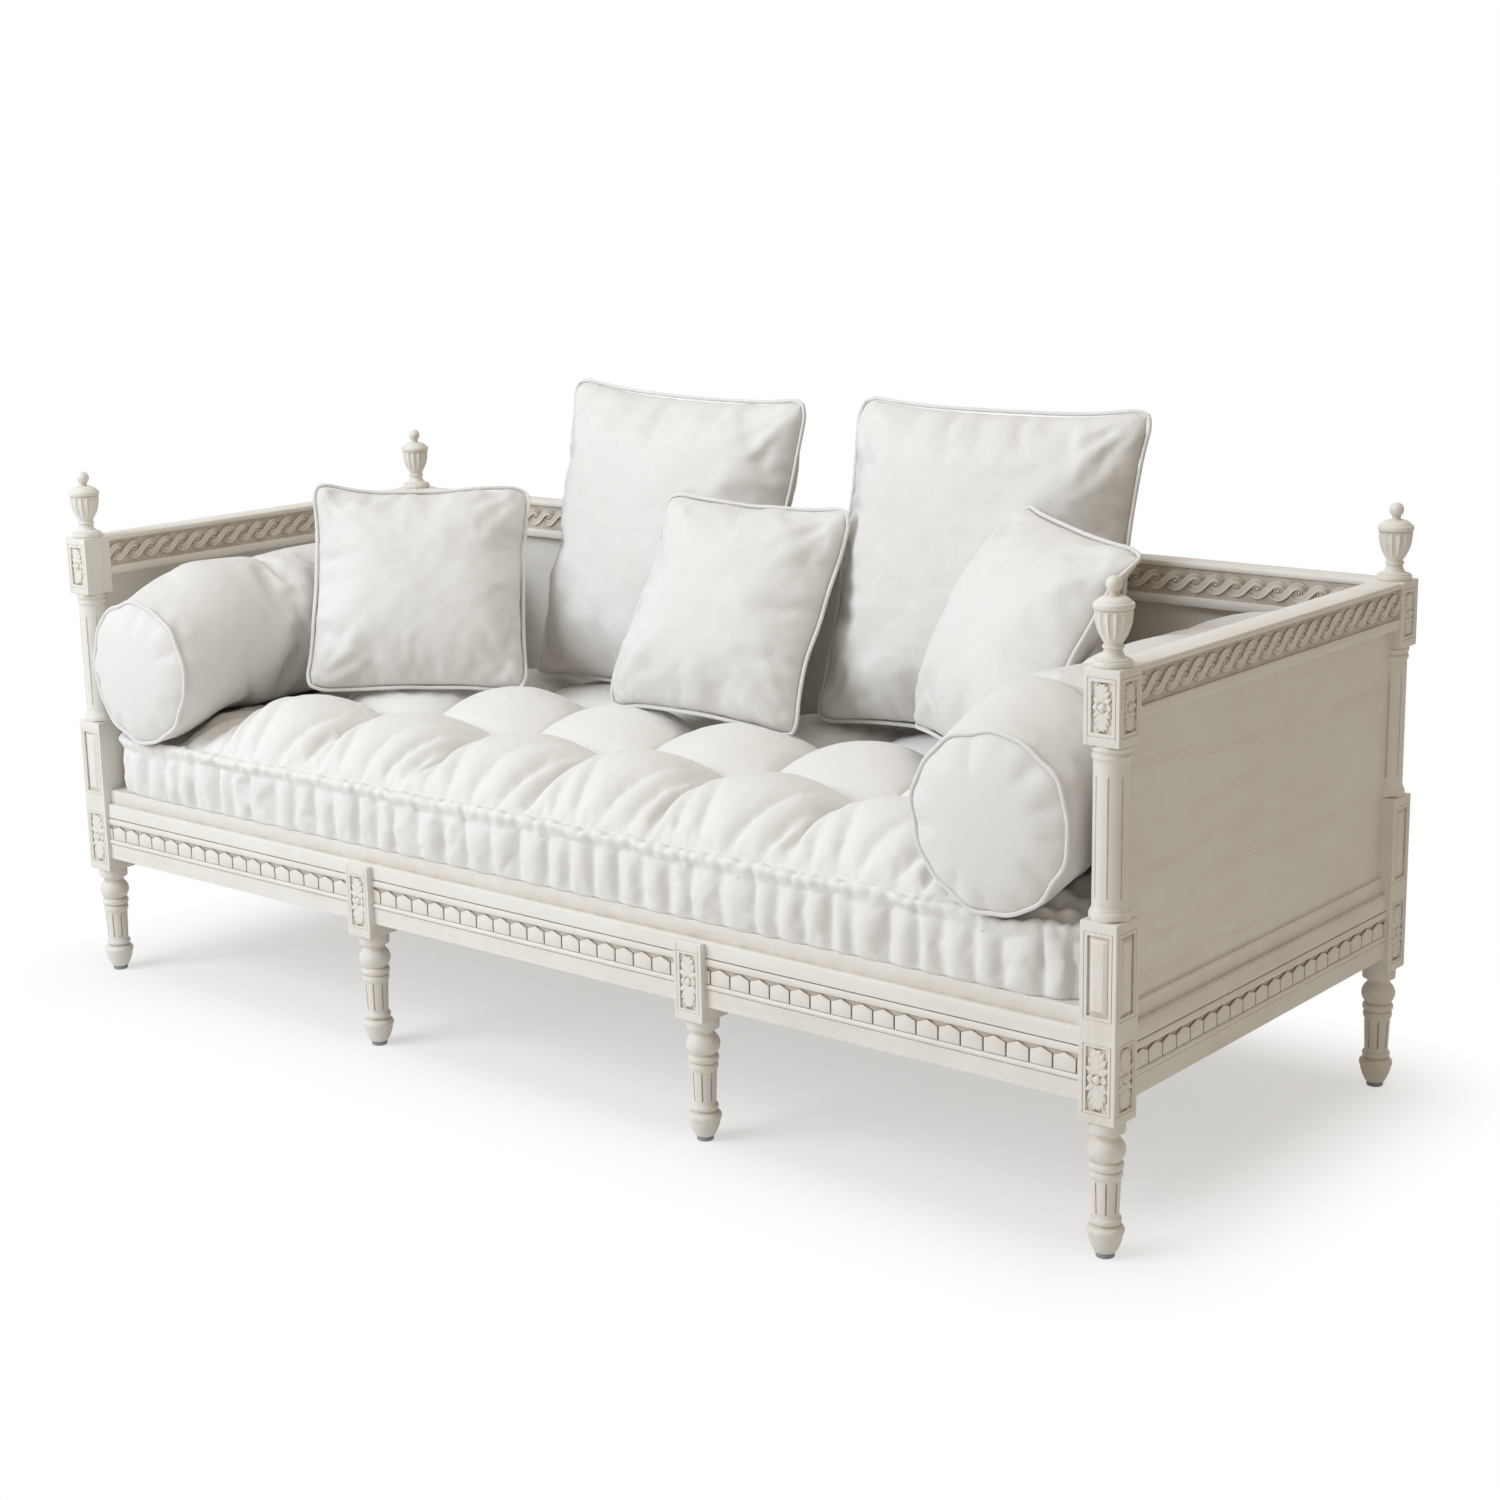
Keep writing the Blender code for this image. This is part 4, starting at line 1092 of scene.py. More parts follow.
def end_geometry_tree(board: NodeBoard, given: bpy.types.Node, shape: bpy.types.NodeSocket) -> bpy.types.NodeTree:
    """Ends a geometry tree with real geometry in its finish.

    Args:
        board: The tree's board.
        given: The node that gives the inputs.
        shape: The geometry to put out.

    Returns:
        The tree.
    """
    real = board.add("GeometryNodeRealizeInstances", {0: shape})
    finish = board.add("GeometryNodeSetMaterial", {"Geometry": real.outputs[0], "Material": given.outputs["Finish"]})
    board.add("NodeGroupOutput", {0: finish.outputs[0]})
    return board.tree


def row_of_units_tree() -> bpy.types.NodeTree:
    """Makes the geometry tree that repeats a carved unit along a straight row.

    Returns:
        A tree with Unit, Count, Start, Pitch and Finish inputs.
    """
    inputs = {"Unit": "Object", "Count": "Int", "Start": "Vector", "Pitch": "Vector", "Finish": "Material"}
    board, given = new_geometry_tree("row_of_units", inputs)
    line = board.add(
        "GeometryNodeMeshLine",
        {"Count": given.outputs["Count"], "Start Location": given.outputs["Start"], "Offset": given.outputs["Pitch"]},
        mode="OFFSET",
    )
    unit = board.add("GeometryNodeObjectInfo", {"Object": given.outputs["Unit"]})
    spread = board.add(
        "GeometryNodeInstanceOnPoints",
        {"Points": line.outputs[0], "Instance": unit.outputs["Geometry"]},
    )
    return end_geometry_tree(board, given, spread.outputs[0])


def through_nodes(
    tree: bpy.types.NodeTree, values: dict[str, object], base: bpy.types.Mesh | None = None
) -> bpy.types.Mesh:
    """Runs a geometry tree once.

    Args:
        tree: The tree.
        values: Input name to value.
        base: The mesh that enters the tree, where it takes one.

    Returns:
        The plain mesh that comes out.
    """
    carrier = linked("carrier", base or bpy.data.meshes.new("carrier"))
    modifier = carrier.modifiers.new("nodes", "NODES")
    modifier.node_group = tree
    names = {s.name: s.identifier for s in tree.interface.items_tree if s.in_out == "INPUT"}
    for name, value in values.items():
        modifier[names[name]] = value
    graph = bpy.context.evaluated_depsgraph_get()
    mesh = bpy.data.meshes.new_from_object(
        carrier.evaluated_get(graph), preserve_all_data_layers=True, depsgraph=graph
    )
    carrier.modifiers.remove(modifier)
    bpy.data.objects.remove(carrier)
    return mesh


def shape_of(mesh: bpy.types.Mesh) -> Shape:
    """Reads a plain mesh back as a shape.

    Args:
        mesh: The mesh; it is removed.

    Returns:
        Its points, faces and recess.
    """
    points = np.zeros(len(mesh.vertices) * 3)
    mesh.vertices.foreach_get("co", points)
    faces = [tuple(p.vertices) for p in mesh.polygons]
    recess = np.zeros(len(mesh.vertices))
    if "recess" in mesh.attributes:
        mesh.attributes["recess"].data.foreach_get("value", recess)
    bpy.data.meshes.remove(mesh)
    return Shape(points.reshape(-1, 3), faces, recess)


@dataclass(frozen=True)
class CarvedRow:
    """A straight run of one carved unit on a rail face."""

    first: tuple[float, float, float]
    turn: float
    count: int
    pitch: float

    def shape(self, tree: bpy.types.NodeTree, unit: bpy.types.Object, finish: bpy.types.Material) -> Shape:
        """Repeats the unit and sets the run in place.

        Args:
            tree: The row tree.
            unit: The unit, with x along the row and its face to the front.
            finish: The material.

        Returns:
            The run in the sofa's frame.
        """
        mesh = through_nodes(
            tree,
            {
                "Unit": unit,
                "Count": self.count,
                "Start": (0.0, 0.0, 0.0),
                "Pitch": (self.pitch, 0.0, 0.0),
                "Finish": finish,
            },
        )
        return shape_of(mesh).moved(placed(self.first, self.turn))


# ---------------------------------------------------------------- frame


@dataclass
class Paints:
    """The wood finishes, one for each way the grain runs."""

    upright: bpy.types.Material
    across: bpy.types.Material
    deep: bpy.types.Material


@dataclass
class TurnedFeet:
    """The eight turned legs and the glides under them."""

    corner_x: float = 1.048
    corner_y: float = 0.397
    middle_x: float = 0.355
    glide_top: float = 0.0068
    top: float = 0.1927

    def leg_shape(self) -> Shape:
        """Turns one leg on its own axis.

        Returns:
            The leg, foot at its glide.
        """
        flutes = Flutes(8, 0.064, 0.0018, 0.0630, 0.1095)
        turning = Turning(self.glide_top).to(0.0128, self.glide_top).to(0.0145, 0.0078)
        turning.arc(0.0236, 0.0325, 0.0014, 8).arc(0.0190, 0.0462, 0.0040, 8)
        turning.to(0.0186, 0.0468).to(0.0186, 0.0482).bead(0.0186, 0.0574, 0.0026)
        turning.to(0.0186, 0.0584).arc(0.0178, 0.0602, -0.0004, 3)
        turning.rows(0.01965, flutes.heights(0.0602, 0.1112)).to(0.0203, 0.1122)
        turning.bead(0.0203, 0.1220, 0.0016).to(0.0196, 0.1232).to(0.0205, 0.1242)
        turning.bead(0.0205, 0.1350, 0.0028).to(0.0196, 0.1362).to(0.0199, 0.1370)
        turning.arc(0.0180, 0.1672, 0.0066, 14).to(0.0172, 0.1682).to(0.0172, 0.1696)
        turning.arc(0.0228, 0.1764, -0.0014, 5).to(0.0246, 0.1768).bead(0.0246, 0.1925, 0.0006)
        return turning.turned(flutes.angles(), flutes.cut).hollowed(0.008)

    def glide_shape(self) -> Shape:
        """Turns one glide on its own axis.

        Returns:
            The glide, foot at height 0.
        """
        turning = Turning(0.0).to(0.0112, 0.0).arc(0.0128, 0.0018, 0.0005, 4)
        turning.to(0.0128, 0.0052).arc(0.0118, 0.0065, 0.0004, 3)
        return turning.turned(np.linspace(0.0, 2.0 * math.pi, 40, endpoint=False))

    def places(self) -> dict[str, tuple[float, float]]:
        """Gives where each leg stands, by the end of its name.

        Returns:
            Places x and y, by name.
        """
        spots = {}
        for row, y in (("front", -self.corner_y), ("back", self.corner_y)):
            spots[f"{row}_left"] = (-self.corner_x, y)
            spots[f"{row}_right"] = (self.corner_x, y)
            spots[f"{row}_mid_left"] = (-self.middle_x, y)
            spots[f"{row}_mid_right"] = (self.middle_x, y)
        return spots

    def build(self, paints: Paints, plastic: bpy.types.Material) -> list[bpy.types.Object]:
        """Makes, places and dresses all legs and glides.

        Args:
            paints: The wood finishes.
            plastic: The glides' finish.

        Returns:
            The pieces.
        """
        leg, glide = self.leg_shape(), self.glide_shape()
        pieces = []
        for number, (end, (x, y)) in enumerate(self.places().items()):
            place = placed((x, y, 0.0), 45.0 * number + 9.0)
            turned = leg.moved(place).piece(f"turned_leg_{end}", paints.upright)
            pieces.append(settle(turned, "frame", "ivory_paint", f"leg_{end}"))
            pad = glide.moved(place).piece(f"plastic_glide_{end}", plastic)
            pieces.append(settle(pad, "frame", "grey_plastic", f"glide_{end}"))
        return pieces


def settle(piece: bpy.types.Object, body: str, slot: str, *nodes: str) -> bpy.types.Object:
    """Rides a piece on its body and hides the CAD nodes that it stands for.

    Args:
        piece: The finished object.
        body: The body's name.
        slot: Not used.
        nodes: The CAD nodes that it replaces.

    Returns:
        The piece.
    """
    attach(piece, body)
    if nodes:
        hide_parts(*nodes)
    LOG.info("%s: %d corners on %s", piece.name, len(piece.data.vertices), body)
    return piece


@dataclass
class CornerPosts:
    """The four posts with their carved blocks and fluted columns, and the urns on top."""

    x: float = 1.048
    y: float = 0.397
    low_half: float = 0.0278
    low_foot: float = 0.193
    low_top: float = 0.466
    high_half: float = 0.0267
    high_foot: float = 0.696
    high_top: float = 0.7955

    def column_shape(self) -> Shape:
        """Turns the fluted column between the two blocks.

        Returns:
            The column, on the post's axis.
        """
        flutes = Flutes(8, 0.052, 0.0015, 0.4960, 0.6570)
        turning = Turning(self.low_top - 0.002).to(0.0270, self.low_top - 0.002).to(0.0270, 0.4672)
        turning.bead(0.0258, 0.4782, 0.0012).to(0.0250, 0.4786).to(0.0250, 0.4806)
        turning.arc(0.0238, 0.4862, -0.0006, 4)
        turning.rows(0.0236, flutes.heights(0.4862, 0.6720)).arc(0.0246, 0.6772, -0.0005, 4)
        turning.to(0.0246, 0.6780).bead(0.0246, 0.6838, 0.0014, 6).to(0.0240, 0.6844)
        turning.to(0.0242, 0.6872).to(0.0250, 0.6878).bead(0.0254, 0.6946, 0.0010, 6)
        turning.to(0.0258, 0.6956).to(0.0258, self.high_foot + 0.002)
        return turning.turned(flutes.angles(), flutes.cut)

    def low_block(self) -> Shape:
        """Carves the lower block, on its front and its right.

        Returns:
            The block, on the post's axis.
        """
        rosette = Rosette(0.2535, 0.0163, 0.0440, 0.0208, 0.0476)
        panel = RaisedPanel(0.3390, 0.4470, 0.0163)
        block = CarvedBlock(self.low_half, self.low_half, self.low_foot, self.low_top)
        return block.shape({Side.FRONT: [rosette, panel], Side.RIGHT: [rosette, panel]})

    def high_block(self) -> Shape:
        """Carves the top block, on its front and its right.

        Returns:
            The block, on the post's axis.
        """
        middle = 0.5 * (self.high_foot + self.high_top)
        rosette = Rosette(middle, 0.0152, 0.0330, 0.0205, 0.0378, boss=0.0058)
        block = CarvedBlock(self.high_half, self.high_half, self.high_foot, self.high_top)
        return block.shape({Side.FRONT: [rosette], Side.RIGHT: [rosette]})

    def urn_shape(self) -> Shape:
        """Turns one urn finial with wide hollow flutes.

        Returns:
            The urn, on the post's axis.
        """
        count = 14
        angles = np.linspace(0.0, 2.0 * math.pi, count * 6, endpoint=False)

        def cut(angle: np.ndarray, height: np.ndarray) -> np.ndarray:
            """Gives the hollow's depth, deepest near the rim.

            Args:
                angle: Angles round the axis.
                height: Heights along it.

            Returns:
                Depths, in metres.
            """
            wave = np.abs(np.sin(0.5 * count * angle)) ** 0.8
            rise = smooth_step(0.8262, 0.8420, height) * (1.0 - smooth_step(0.8650, 0.8672, height))
            return 0.0021 * wave * rise

        turning = Turning(0.7958).to(0.0252, 0.7958).bead(0.0252, 0.8030, 0.0010, 6)
        turning.to(0.0228, 0.8036).to(0.0228, 0.8050).arc(0.0122, 0.8178, -0.0036, 8)
        turning.to(0.0126, 0.8184).bead(0.0126, 0.8226, 0.0014, 6).to(0.0120, 0.8234).to(0.0122, 0.8256)
        turning.arc(0.0246, 0.8646, 0.0034, 16).arc(0.0246, 0.8674, 0.0001, 3).to(0.0238, 0.8680)
        turning.to(0.0252, 0.8688).bead(0.0252, 0.8766, 0.0012, 6).to(0.0232, 0.8772).to(0.0228, 0.8782)
        turning.arc(0.0076, 0.8846, 0.0020, 7).arc(0.0062, 0.8892, -0.0006, 4)
        ball, centre = 0.01075, 0.89955
        start = math.asin(0.0062 / ball)
        for i in range(1, 12):
            bend = start + (math.pi - start) * i / 11.0
            turning.to(ball * math.sin(bend), centre - ball * math.cos(bend))
        return turning.turned(angles, cut).hollowed(0.008)

    def build(self, paints: Paints) -> list[bpy.types.Object]:
        """Makes, places and dresses the posts and urns.

        Args:
            paints: The wood finishes.

        Returns:
            The pieces.
        """
        post = Shape.join([self.low_block(), self.column_shape(), self.high_block()]).hollowed(0.006)
        urn = self.urn_shape()
        pieces = []
        for row, sy in (("front", 1.0), ("back", -1.0)):
            for end, sx in (("left", -1.0), ("right", 1.0)):
                place = Matrix.Translation((sx * self.x, -sy * self.y, 0.0)) @ Matrix.Diagonal((sx, sy, 1.0, 1.0))
                name = f"{row}_{end}"
                carved = post.moved(place).piece(f"carved_post_{name}", paints.upright)
                pieces.append(settle(carved, "frame", "ivory_paint", f"post_{name}"))
                finial = urn.moved(place).piece(f"urn_finial_{name}", paints.upright)
                pieces.append(settle(finial, "frame", "ivory_paint", f"finial_{name}"))
        return pieces


@dataclass
class SeatRails:
    """The moulded seat rails, their tablet friezes and the rosette blocks over the middle legs."""

    line_x: float = 1.048
    line_y: float = 0.397
    post_half: float = 0.0278
    face: float = 0.0208
    foot: float = 0.2165
    top: float = 0.3420
    thick: float = 0.0400
    frieze_low: float = 0.2525
    pitch_long: float = 0.0367
    pitch_short: float = 0.0364
    middle_x: float = 0.355
    middle_half: float = 0.0265

    def outline(self) -> list[tuple[float, float]]:
        """Gives the rail's moulding, from the back foot round by the face.

        Returns:
            Corners, out and up.
        """
        f, inner = self.face, self.face - self.thick
        corners = [(inner, self.foot), (f - 0.0012, self.foot), (f, self.foot + 0.0012), (f, 0.2438)]
        corners += [(f - 0.0008, 0.2443)] + half_round((f - 0.0008, 0.2447), (f - 0.0008, 0.2523), 0.0030)
        corners += [(f - 0.0042, 0.2526), (f - 0.0042, 0.2798), (f - 0.0006, 0.2802)]
        corners += half_round((f - 0.0006, 0.2806), (f - 0.0006, 0.2914), 0.0016)
        corners += [(f - 0.0020, 0.2918), (f - 0.0020, 0.2927), (f, 0.2932), (f, 0.3140)]
        corners += [(f - 0.0010, 0.3160), (f - 0.0030, 0.3170), (f - 0.0080, 0.3176)]
        corners += [(f - 0.0080, self.top - 0.0010), (f - 0.0090, self.top), (inner, self.top)]
        return corners

    def tablet(self, pitch: float, finish: bpy.types.Material) -> bpy.types.Object:
        """Makes one pointed tablet with eased edges.

        Args:
            pitch: The room that one tablet has along the rail.
            finish: The material.

        Returns:
            The unit, face to the front, foot at height 0.
        """
        half, shoulder, tip = 0.5 * pitch - 0.0009, 0.0195, 0.0262
        corners = [(-half, 0.0003), (half, 0.0003), (half, shoulder), (0.0, tip), (-half, shoulder)]
        middle = (0.0, 0.0125)

        def ring(inset: float, out: float) -> list[tuple[float, float, float]]:
            """Gives the five corners drawn in by inset at a height out from the ground.

            Args:
                inset: How far in.
                out: How far out.

            Returns:
                The five places.
            """
            points = []
            for x, z in corners:
                length = math.hypot(x - middle[0], z - middle[1])
                scale = 1.0 - inset / length
                points.append((middle[0] + (x - middle[0]) * scale, -out, middle[1] + (z - middle[1]) * scale))
            return points

        rings = [ring(0.0, -0.0010), ring(0.0, 0.0024), ring(0.0007, 0.0034), ring(0.0020, 0.0039)]
        points = np.array([p for r in rings for p in r] + [(0.0, -0.0040, 0.0125)])
        faces = grid_faces(4, 5, wrap=True) + [(15 + i, 15 + (i + 1) % 5, 20) for i in range(5)]
        recess = np.array([1.0] * 5 + [0.50] * 5 + [0.12] * 5 + [0.0] * 6)
        unit = Shape(points, faces, recess).piece("tablet_unit", finish)
        return unit

    def rows(self) -> list[CarvedRow]:
        """Lists the tablet runs between posts and middle blocks.

        Returns:
            The runs, long sides first.
        """
        runs = []
        out = self.face - 0.0042
        ends_x, ends_y = self.line_x - self.post_half, self.line_y - self.post_half
        stops = [-ends_x, -self.middle_x - self.middle_half, -self.middle_x + self.middle_half]
        stops += [-s for s in reversed(stops)]
        for low, high in zip(stops[0::2], stops[1::2]):
            for turn in (0.0, 180.0):
                runs.append(self.run(low, high, self.pitch_long, self.line_y + out, turn))
        for turn in (90.0, 270.0):
            runs.append(self.run(-ends_y, ends_y, self.pitch_short, self.line_x + out, turn))
        return runs

    def run(self, low: float, high: float, pitch: float, out: float, turn: float) -> CarvedRow:
        """Gives one run that goes on behind what stands at its ends.

        Args:
            low: Where the run's room starts along the face.
            high: Where it ends.
            pitch: The room for one tablet.
            out: How far the face's ground is from the sofa's middle.
            turn: The face's turn from the front, in degrees.

        Returns:
            The run.
        """
        count = int((high - low) / pitch) + 2
        start = 0.5 * (low + high) - 0.5 * pitch * (count - 1)
        corner = Matrix.Rotation(math.radians(turn), 4, "Z") @ Vector((start, -out, self.frieze_low))
        return CarvedRow(tuple(corner), turn, count, pitch)

    def middle_block(self) -> Shape:
        """Carves the rosette block that stands in front of the rail over a middle leg.

        Returns:
            The block for the front, at the sofa's middle.
        """
        rosette = Rosette(0.2535, 0.0150, 0.0420, 0.0205, 0.0458, boss=0.0060)
        front = CarvedBlock(self.middle_half, 0.0090, 0.1930, 0.3145).shape({Side.FRONT: [rosette]})
        front = front.moved(Matrix.Translation((0.0, -self.line_y - 0.0228, 0.0)))
        base = CarvedBlock(self.middle_half - 0.0002, 0.0215, 0.1932, 0.2163).shape({})
        base = base.moved(Matrix.Translation((0.0, -self.line_y + 0.0063, 0.0)))
        return Shape.join([front.hollowed(0.006), base.hollowed(0.006)])

    def build(self, paints: Paints, tree: bpy.types.NodeTree) -> list[bpy.types.Object]:
        """Makes, places and dresses the rails, tablets and blocks.

        Args:
            paints: The wood finishes.
            tree: The geometry tree for carved rows.

        Returns:
            The pieces.
        """
        pieces = []
        long = drawn_along(self.outline(), 2.0 * (self.line_x - self.post_half) + 0.002)
        short = drawn_along(self.outline(), 2.0 * (self.line_y - self.post_half) + 0.002)
        for name, shape, off, turn, paint in (
            ("front", long, self.line_y, 0.0, paints.across),
            ("right", short, self.line_x, 90.0, paints.deep),
            ("back", long, self.line_y, 180.0, paints.across),
            ("left", short, self.line_x, 270.0, paints.deep),
        ):
            corner = Matrix.Rotation(math.radians(turn), 4, "Z") @ Vector((0.0, -off, 0.0))
            rail = shape.moved(placed(tuple(corner), turn)).piece(f"moulded_rail_{name}", paint, 40.0)
            pieces.append(settle(rail, "frame", "ivory_paint", f"rail_{name}"))
        units = {p: self.tablet(p, paints.across) for p in (self.pitch_long, self.pitch_short)}
        frieze = Shape.join([run.shape(tree, units[run.pitch], paints.across) for run in self.rows()])
        pieces.append(settle(frieze.piece("tablet_frieze", paints.across), "frame", "ivory_paint"))
        for unit in units.values():
            bpy.data.objects.remove(unit)
        block = self.middle_block()
        for row, turn in (("front", 0.0), ("back", 180.0)):
            for end, x in (("left", -self.middle_x), ("right", self.middle_x)):
                spot = Matrix.Translation((x, 0.0, 0.0)) @ Matrix.Rotation(math.radians(turn), 4, "Z")
                made = block.moved(spot).piece(f"rosette_carving_{row}_{end}", paints.upright)
                pieces.append(settle(made, "frame", "ivory_paint", f"rosette_block_{row}_{end}"))
        return pieces


@dataclass
class TopRails:
    """The arm and back rails with a running strap-and-eye carving on both faces."""

    line_x: float = 1.048
    line_y: float = 0.397
    post_half: float = 0.0267
    foot: float = 0.7260
    top: float = 0.7950
    half: float = 0.0240
    ground: float = 0.0208
    eye_z: float = 0.7645
    pitch: float = 0.0357
    swing: float = 0.0112
    strap: float = 0.0128

    def outline(self) -> list[tuple[float, float]]:
        """Gives the rail's outline, the same on both faces.

        Returns:
            Corners, out and up.
        """
        h, g = self.half, self.ground
        face = [(h - 0.0020, self.foot), (h - 0.0006, self.foot + 0.0006), (h, self.foot + 0.0020)]
        face += [(h, 0.7400), (h - 0.0006, 0.7410), (g, 0.7414), (g, 0.7860), (h - 0.0006, 0.7864), (h, 0.7874)]
        face += [(h, self.top - 0.0030), (h - 0.0009, self.top - 0.0009), (h - 0.0030, self.top)]
        return face + [(-out, z) for out, z in reversed(face)]

    def strap_unit(self, finish: bpy.types.Material) -> bpy.types.Object:
        """Makes one S-shaped strap with the ring-and-dot eye beside it.

        Args:
            finish: The material.

        Returns:
            The unit, face to the front, about the eye line's height.
        """
        along = np.linspace(-1.0, 1.0, 13)
        across = np.array([-0.5, -0.40, -0.14, 0.14, 0.40, 0.5])
        lift = np.array([-0.0010, 0.0, -0.00045, -0.00045, 0.0, -0.0010])
        sunk = np.array([1, 0, 0, 0, 0, 1])
        points, hollow = [], []
        for t in along:
            x, z = t * self.pitch, self.swing * math.sin(math.pi * t)
            slope = math.atan2(self.swing * math.pi / self.pitch * math.cos(math.pi * t), 1.0)
            crest = 0.0036 - 0.0022 * t * t
            wide = self.strap * (1.0 - 0.25 * t * t)
            for c, l, s in zip(across, lift, sunk):
                out = -0.0008 if s else crest + l
                points.append((x - c * wide * math.sin(slope), -out, z + c * wide * math.cos(slope)))
                hollow.append(0.85 if s else 0.10 + 0.55 * abs(t) ** 3 + (0.18 if l else 0.0))
        strap = Shape(np.array(points), [tuple(reversed(f)) for f in grid_faces(13, 6)], np.array(hollow))
        rings = [
            (0.0, 0.0030, 0.0),
            (0.0019, 0.0024, 0.1),
            (0.0025, 0.0008, 0.9),
            (0.0036, 0.0008, 0.9),
            (0.0043, 0.0024, 0.1),
            (0.0056, 0.0020, 0.2),
            (0.0064, -0.0006, 1.0),
        ]
        turns = np.linspace(0.0, 2.0 * math.pi, 12, endpoint=False)
        middle = 0.5 * self.pitch
        corners = np.array([(middle + r * math.cos(a), -h, r * math.sin(a)) for r, h, _ in rings for a in turns])
        deep = np.repeat([d for _, _, d in rings], len(turns))
        eye = Shape(corners, [tuple(reversed(f)) for f in grid_faces(len(rings), 12, wrap=True)], deep)
        return Shape.join([strap, eye]).piece("strap_unit", finish, 60.0)

    def rows(self) -> list[CarvedRow]:
        """Lists the strap runs on both faces of the arms and the back rail.

        Returns:
            The runs, with where each starts and its turn.
        """
        runs = []
        arm = -0.3277 - 1.5 * self.pitch
        back = 0.6548 - 46.5 * self.pitch
        for turn, off, first, count in (
            (90.0, self.line_x + self.ground, arm, 22),
            (270.0, -(self.line_x - self.ground), arm, 22),
            (270.0, self.line_x + self.ground, arm + 0.0121, 21),
            (90.0, -(self.line_x - self.ground), arm + 0.0121, 21),
            (180.0, self.line_y + self.ground, back, 58),
            (0.0, -(self.line_y - self.ground), back, 58),
        ):
            spot = Matrix.Rotation(math.radians(turn), 4, "Z") @ Vector((first, -off, self.eye_z))
            runs.append(CarvedRow(tuple(spot), turn, count, self.pitch))
        return runs

    def build(self, paints: Paints, tree: bpy.types.NodeTree) -> list[bpy.types.Object]:
        """Makes, places and dresses the rails and their carving.

        Args:
            paints: The wood finishes.
            tree: The geometry tree for carved rows.

        Returns:
            The pieces.
        """
        pieces = []
        long = drawn_along(self.outline(), 2.0 * (self.line_x - self.post_half) + 0.002)
        short = drawn_along(self.outline(), 2.0 * (self.line_y - self.post_half) + 0.002)
        for name, shape, centre, turn, paint in (
            ("back", long, (0.0, self.line_y, 0.0), 180.0, paints.across),
            ("left", short, (-self.line_x, 0.0, 0.0), 270.0, paints.deep),
            ("right", short, (self.line_x, 0.0, 0.0), 90.0, paints.deep),
        ):
            rail = shape.moved(placed(centre, turn)).piece(f"carved_top_rail_{name}", paint, 40.0)
            pieces.append(settle(rail, "frame", "ivory_paint", f"top_rail_{name}"))
        unit = self.strap_unit(paints.across)
        carving = Shape.join([run.shape(tree, unit, paints.across) for run in self.rows()])
        pieces.append(settle(carving.piece("strap_and_eye_carving", paints.across, 60.0), "frame", "ivory_paint"))
        bpy.data.objects.remove(unit)
        return pieces


def dress_carried_nodes(nodes: dict[str, bpy.types.Object], paints: Paints) -> None:
    """Gives the CAD nodes that stay their finishes.

    Args:
        nodes: The CAD nodes by name.
        paints: The wood finishes.
    """
    pine_x = BareWood("pine_along", Grain.ALONG_X).material()
    pine_y = BareWood("pine_across", Grain.ALONG_Y).material()
    for name, node in nodes.items():
        if name.startswith("panel_"):
            finish = paints.across if name == "panel_back" else paints.deep
        elif name.startswith("cleat_"):
            finish = pine_x
        elif name.startswith("slat_"):
            finish = pine_y
        else:
            continue
        for slot in node.material_slots:
            slot.material = finish


# ---------------------------------------------------------------- sewn covers


@dataclass
class Cover:
    """A sewn cover made of flat sheets, welded where their edges meet.

    Attributes:
        centre: A point well inside the cover.
        corners: Places of each sheet's corners.
        held: Which corners the seams and stitches hold.
        faces: Faces of all sheets, by corner number before welding.
        cloth: Place of each corner on the flat cloth, in metres.
    """

    centre: tuple[float, float, float]
    corners: list[np.ndarray] = field(default_factory=list)
    held: list[np.ndarray] = field(default_factory=list)
    faces: list[tuple[int, ...]] = field(default_factory=list)
    cloth: list[np.ndarray] = field(default_factory=list)

    def sheet(self, grid: np.ndarray, cloth: np.ndarray, held: np.ndarray) -> None:
        """Adds a sheet and turns its faces outwards.

        Args:
            grid: Corner places, rows by columns by 3.
            cloth: Corner places on the flat cloth, rows by columns by 2.
            held: Which corners are held, rows by columns.
        """
        rows, columns = held.shape
        normal = np.cross(grid[:-1, 1:] - grid[:-1, :-1], grid[1:, :-1] - grid[:-1, :-1])
        away = grid[:-1, :-1] - np.array(self.centre)
        if (normal * away).sum() < 0.0:
            grid, cloth, held = grid[:, ::-1], cloth[:, ::-1], held[:, ::-1]
        start = sum(len(c) for c in self.corners)
        self.corners.append(grid.reshape(-1, 3))
        self.cloth.append(cloth.reshape(-1, 2))
        self.held.append(held.reshape(-1))
        self.faces += grid_faces(rows, columns, start)

    def welded(self) -> tuple[np.ndarray, list[tuple[int, ...]], np.ndarray, np.ndarray, np.ndarray]:
        """Joins the sheets along their shared edges.

        Returns:
            Points, faces, held points, cloth places by face corner, and each corner's point number.
        """
        corners = np.vstack(self.corners)
        cloth = np.vstack(self.cloth)
        microns = np.round(corners * 1e6).astype(np.int64)
        marks, first, number = np.unique(microns, axis=0, return_index=True, return_inverse=True)
        number = number.reshape(-1)
        held = np.zeros(len(marks), bool)
        np.logical_or.at(held, number, np.concatenate(self.held))
        faces, places = [], []
        for face in self.faces:
            kept: list[int] = []
            for corner in face:
                if number[corner] not in [number[k] for k in kept]:
                    kept.append(corner)
            if len(kept) > 2:
                faces.append(tuple(int(number[k]) for k in kept))
                places += [cloth[k] for k in kept]
        return corners[first], faces, held, np.array(places), number


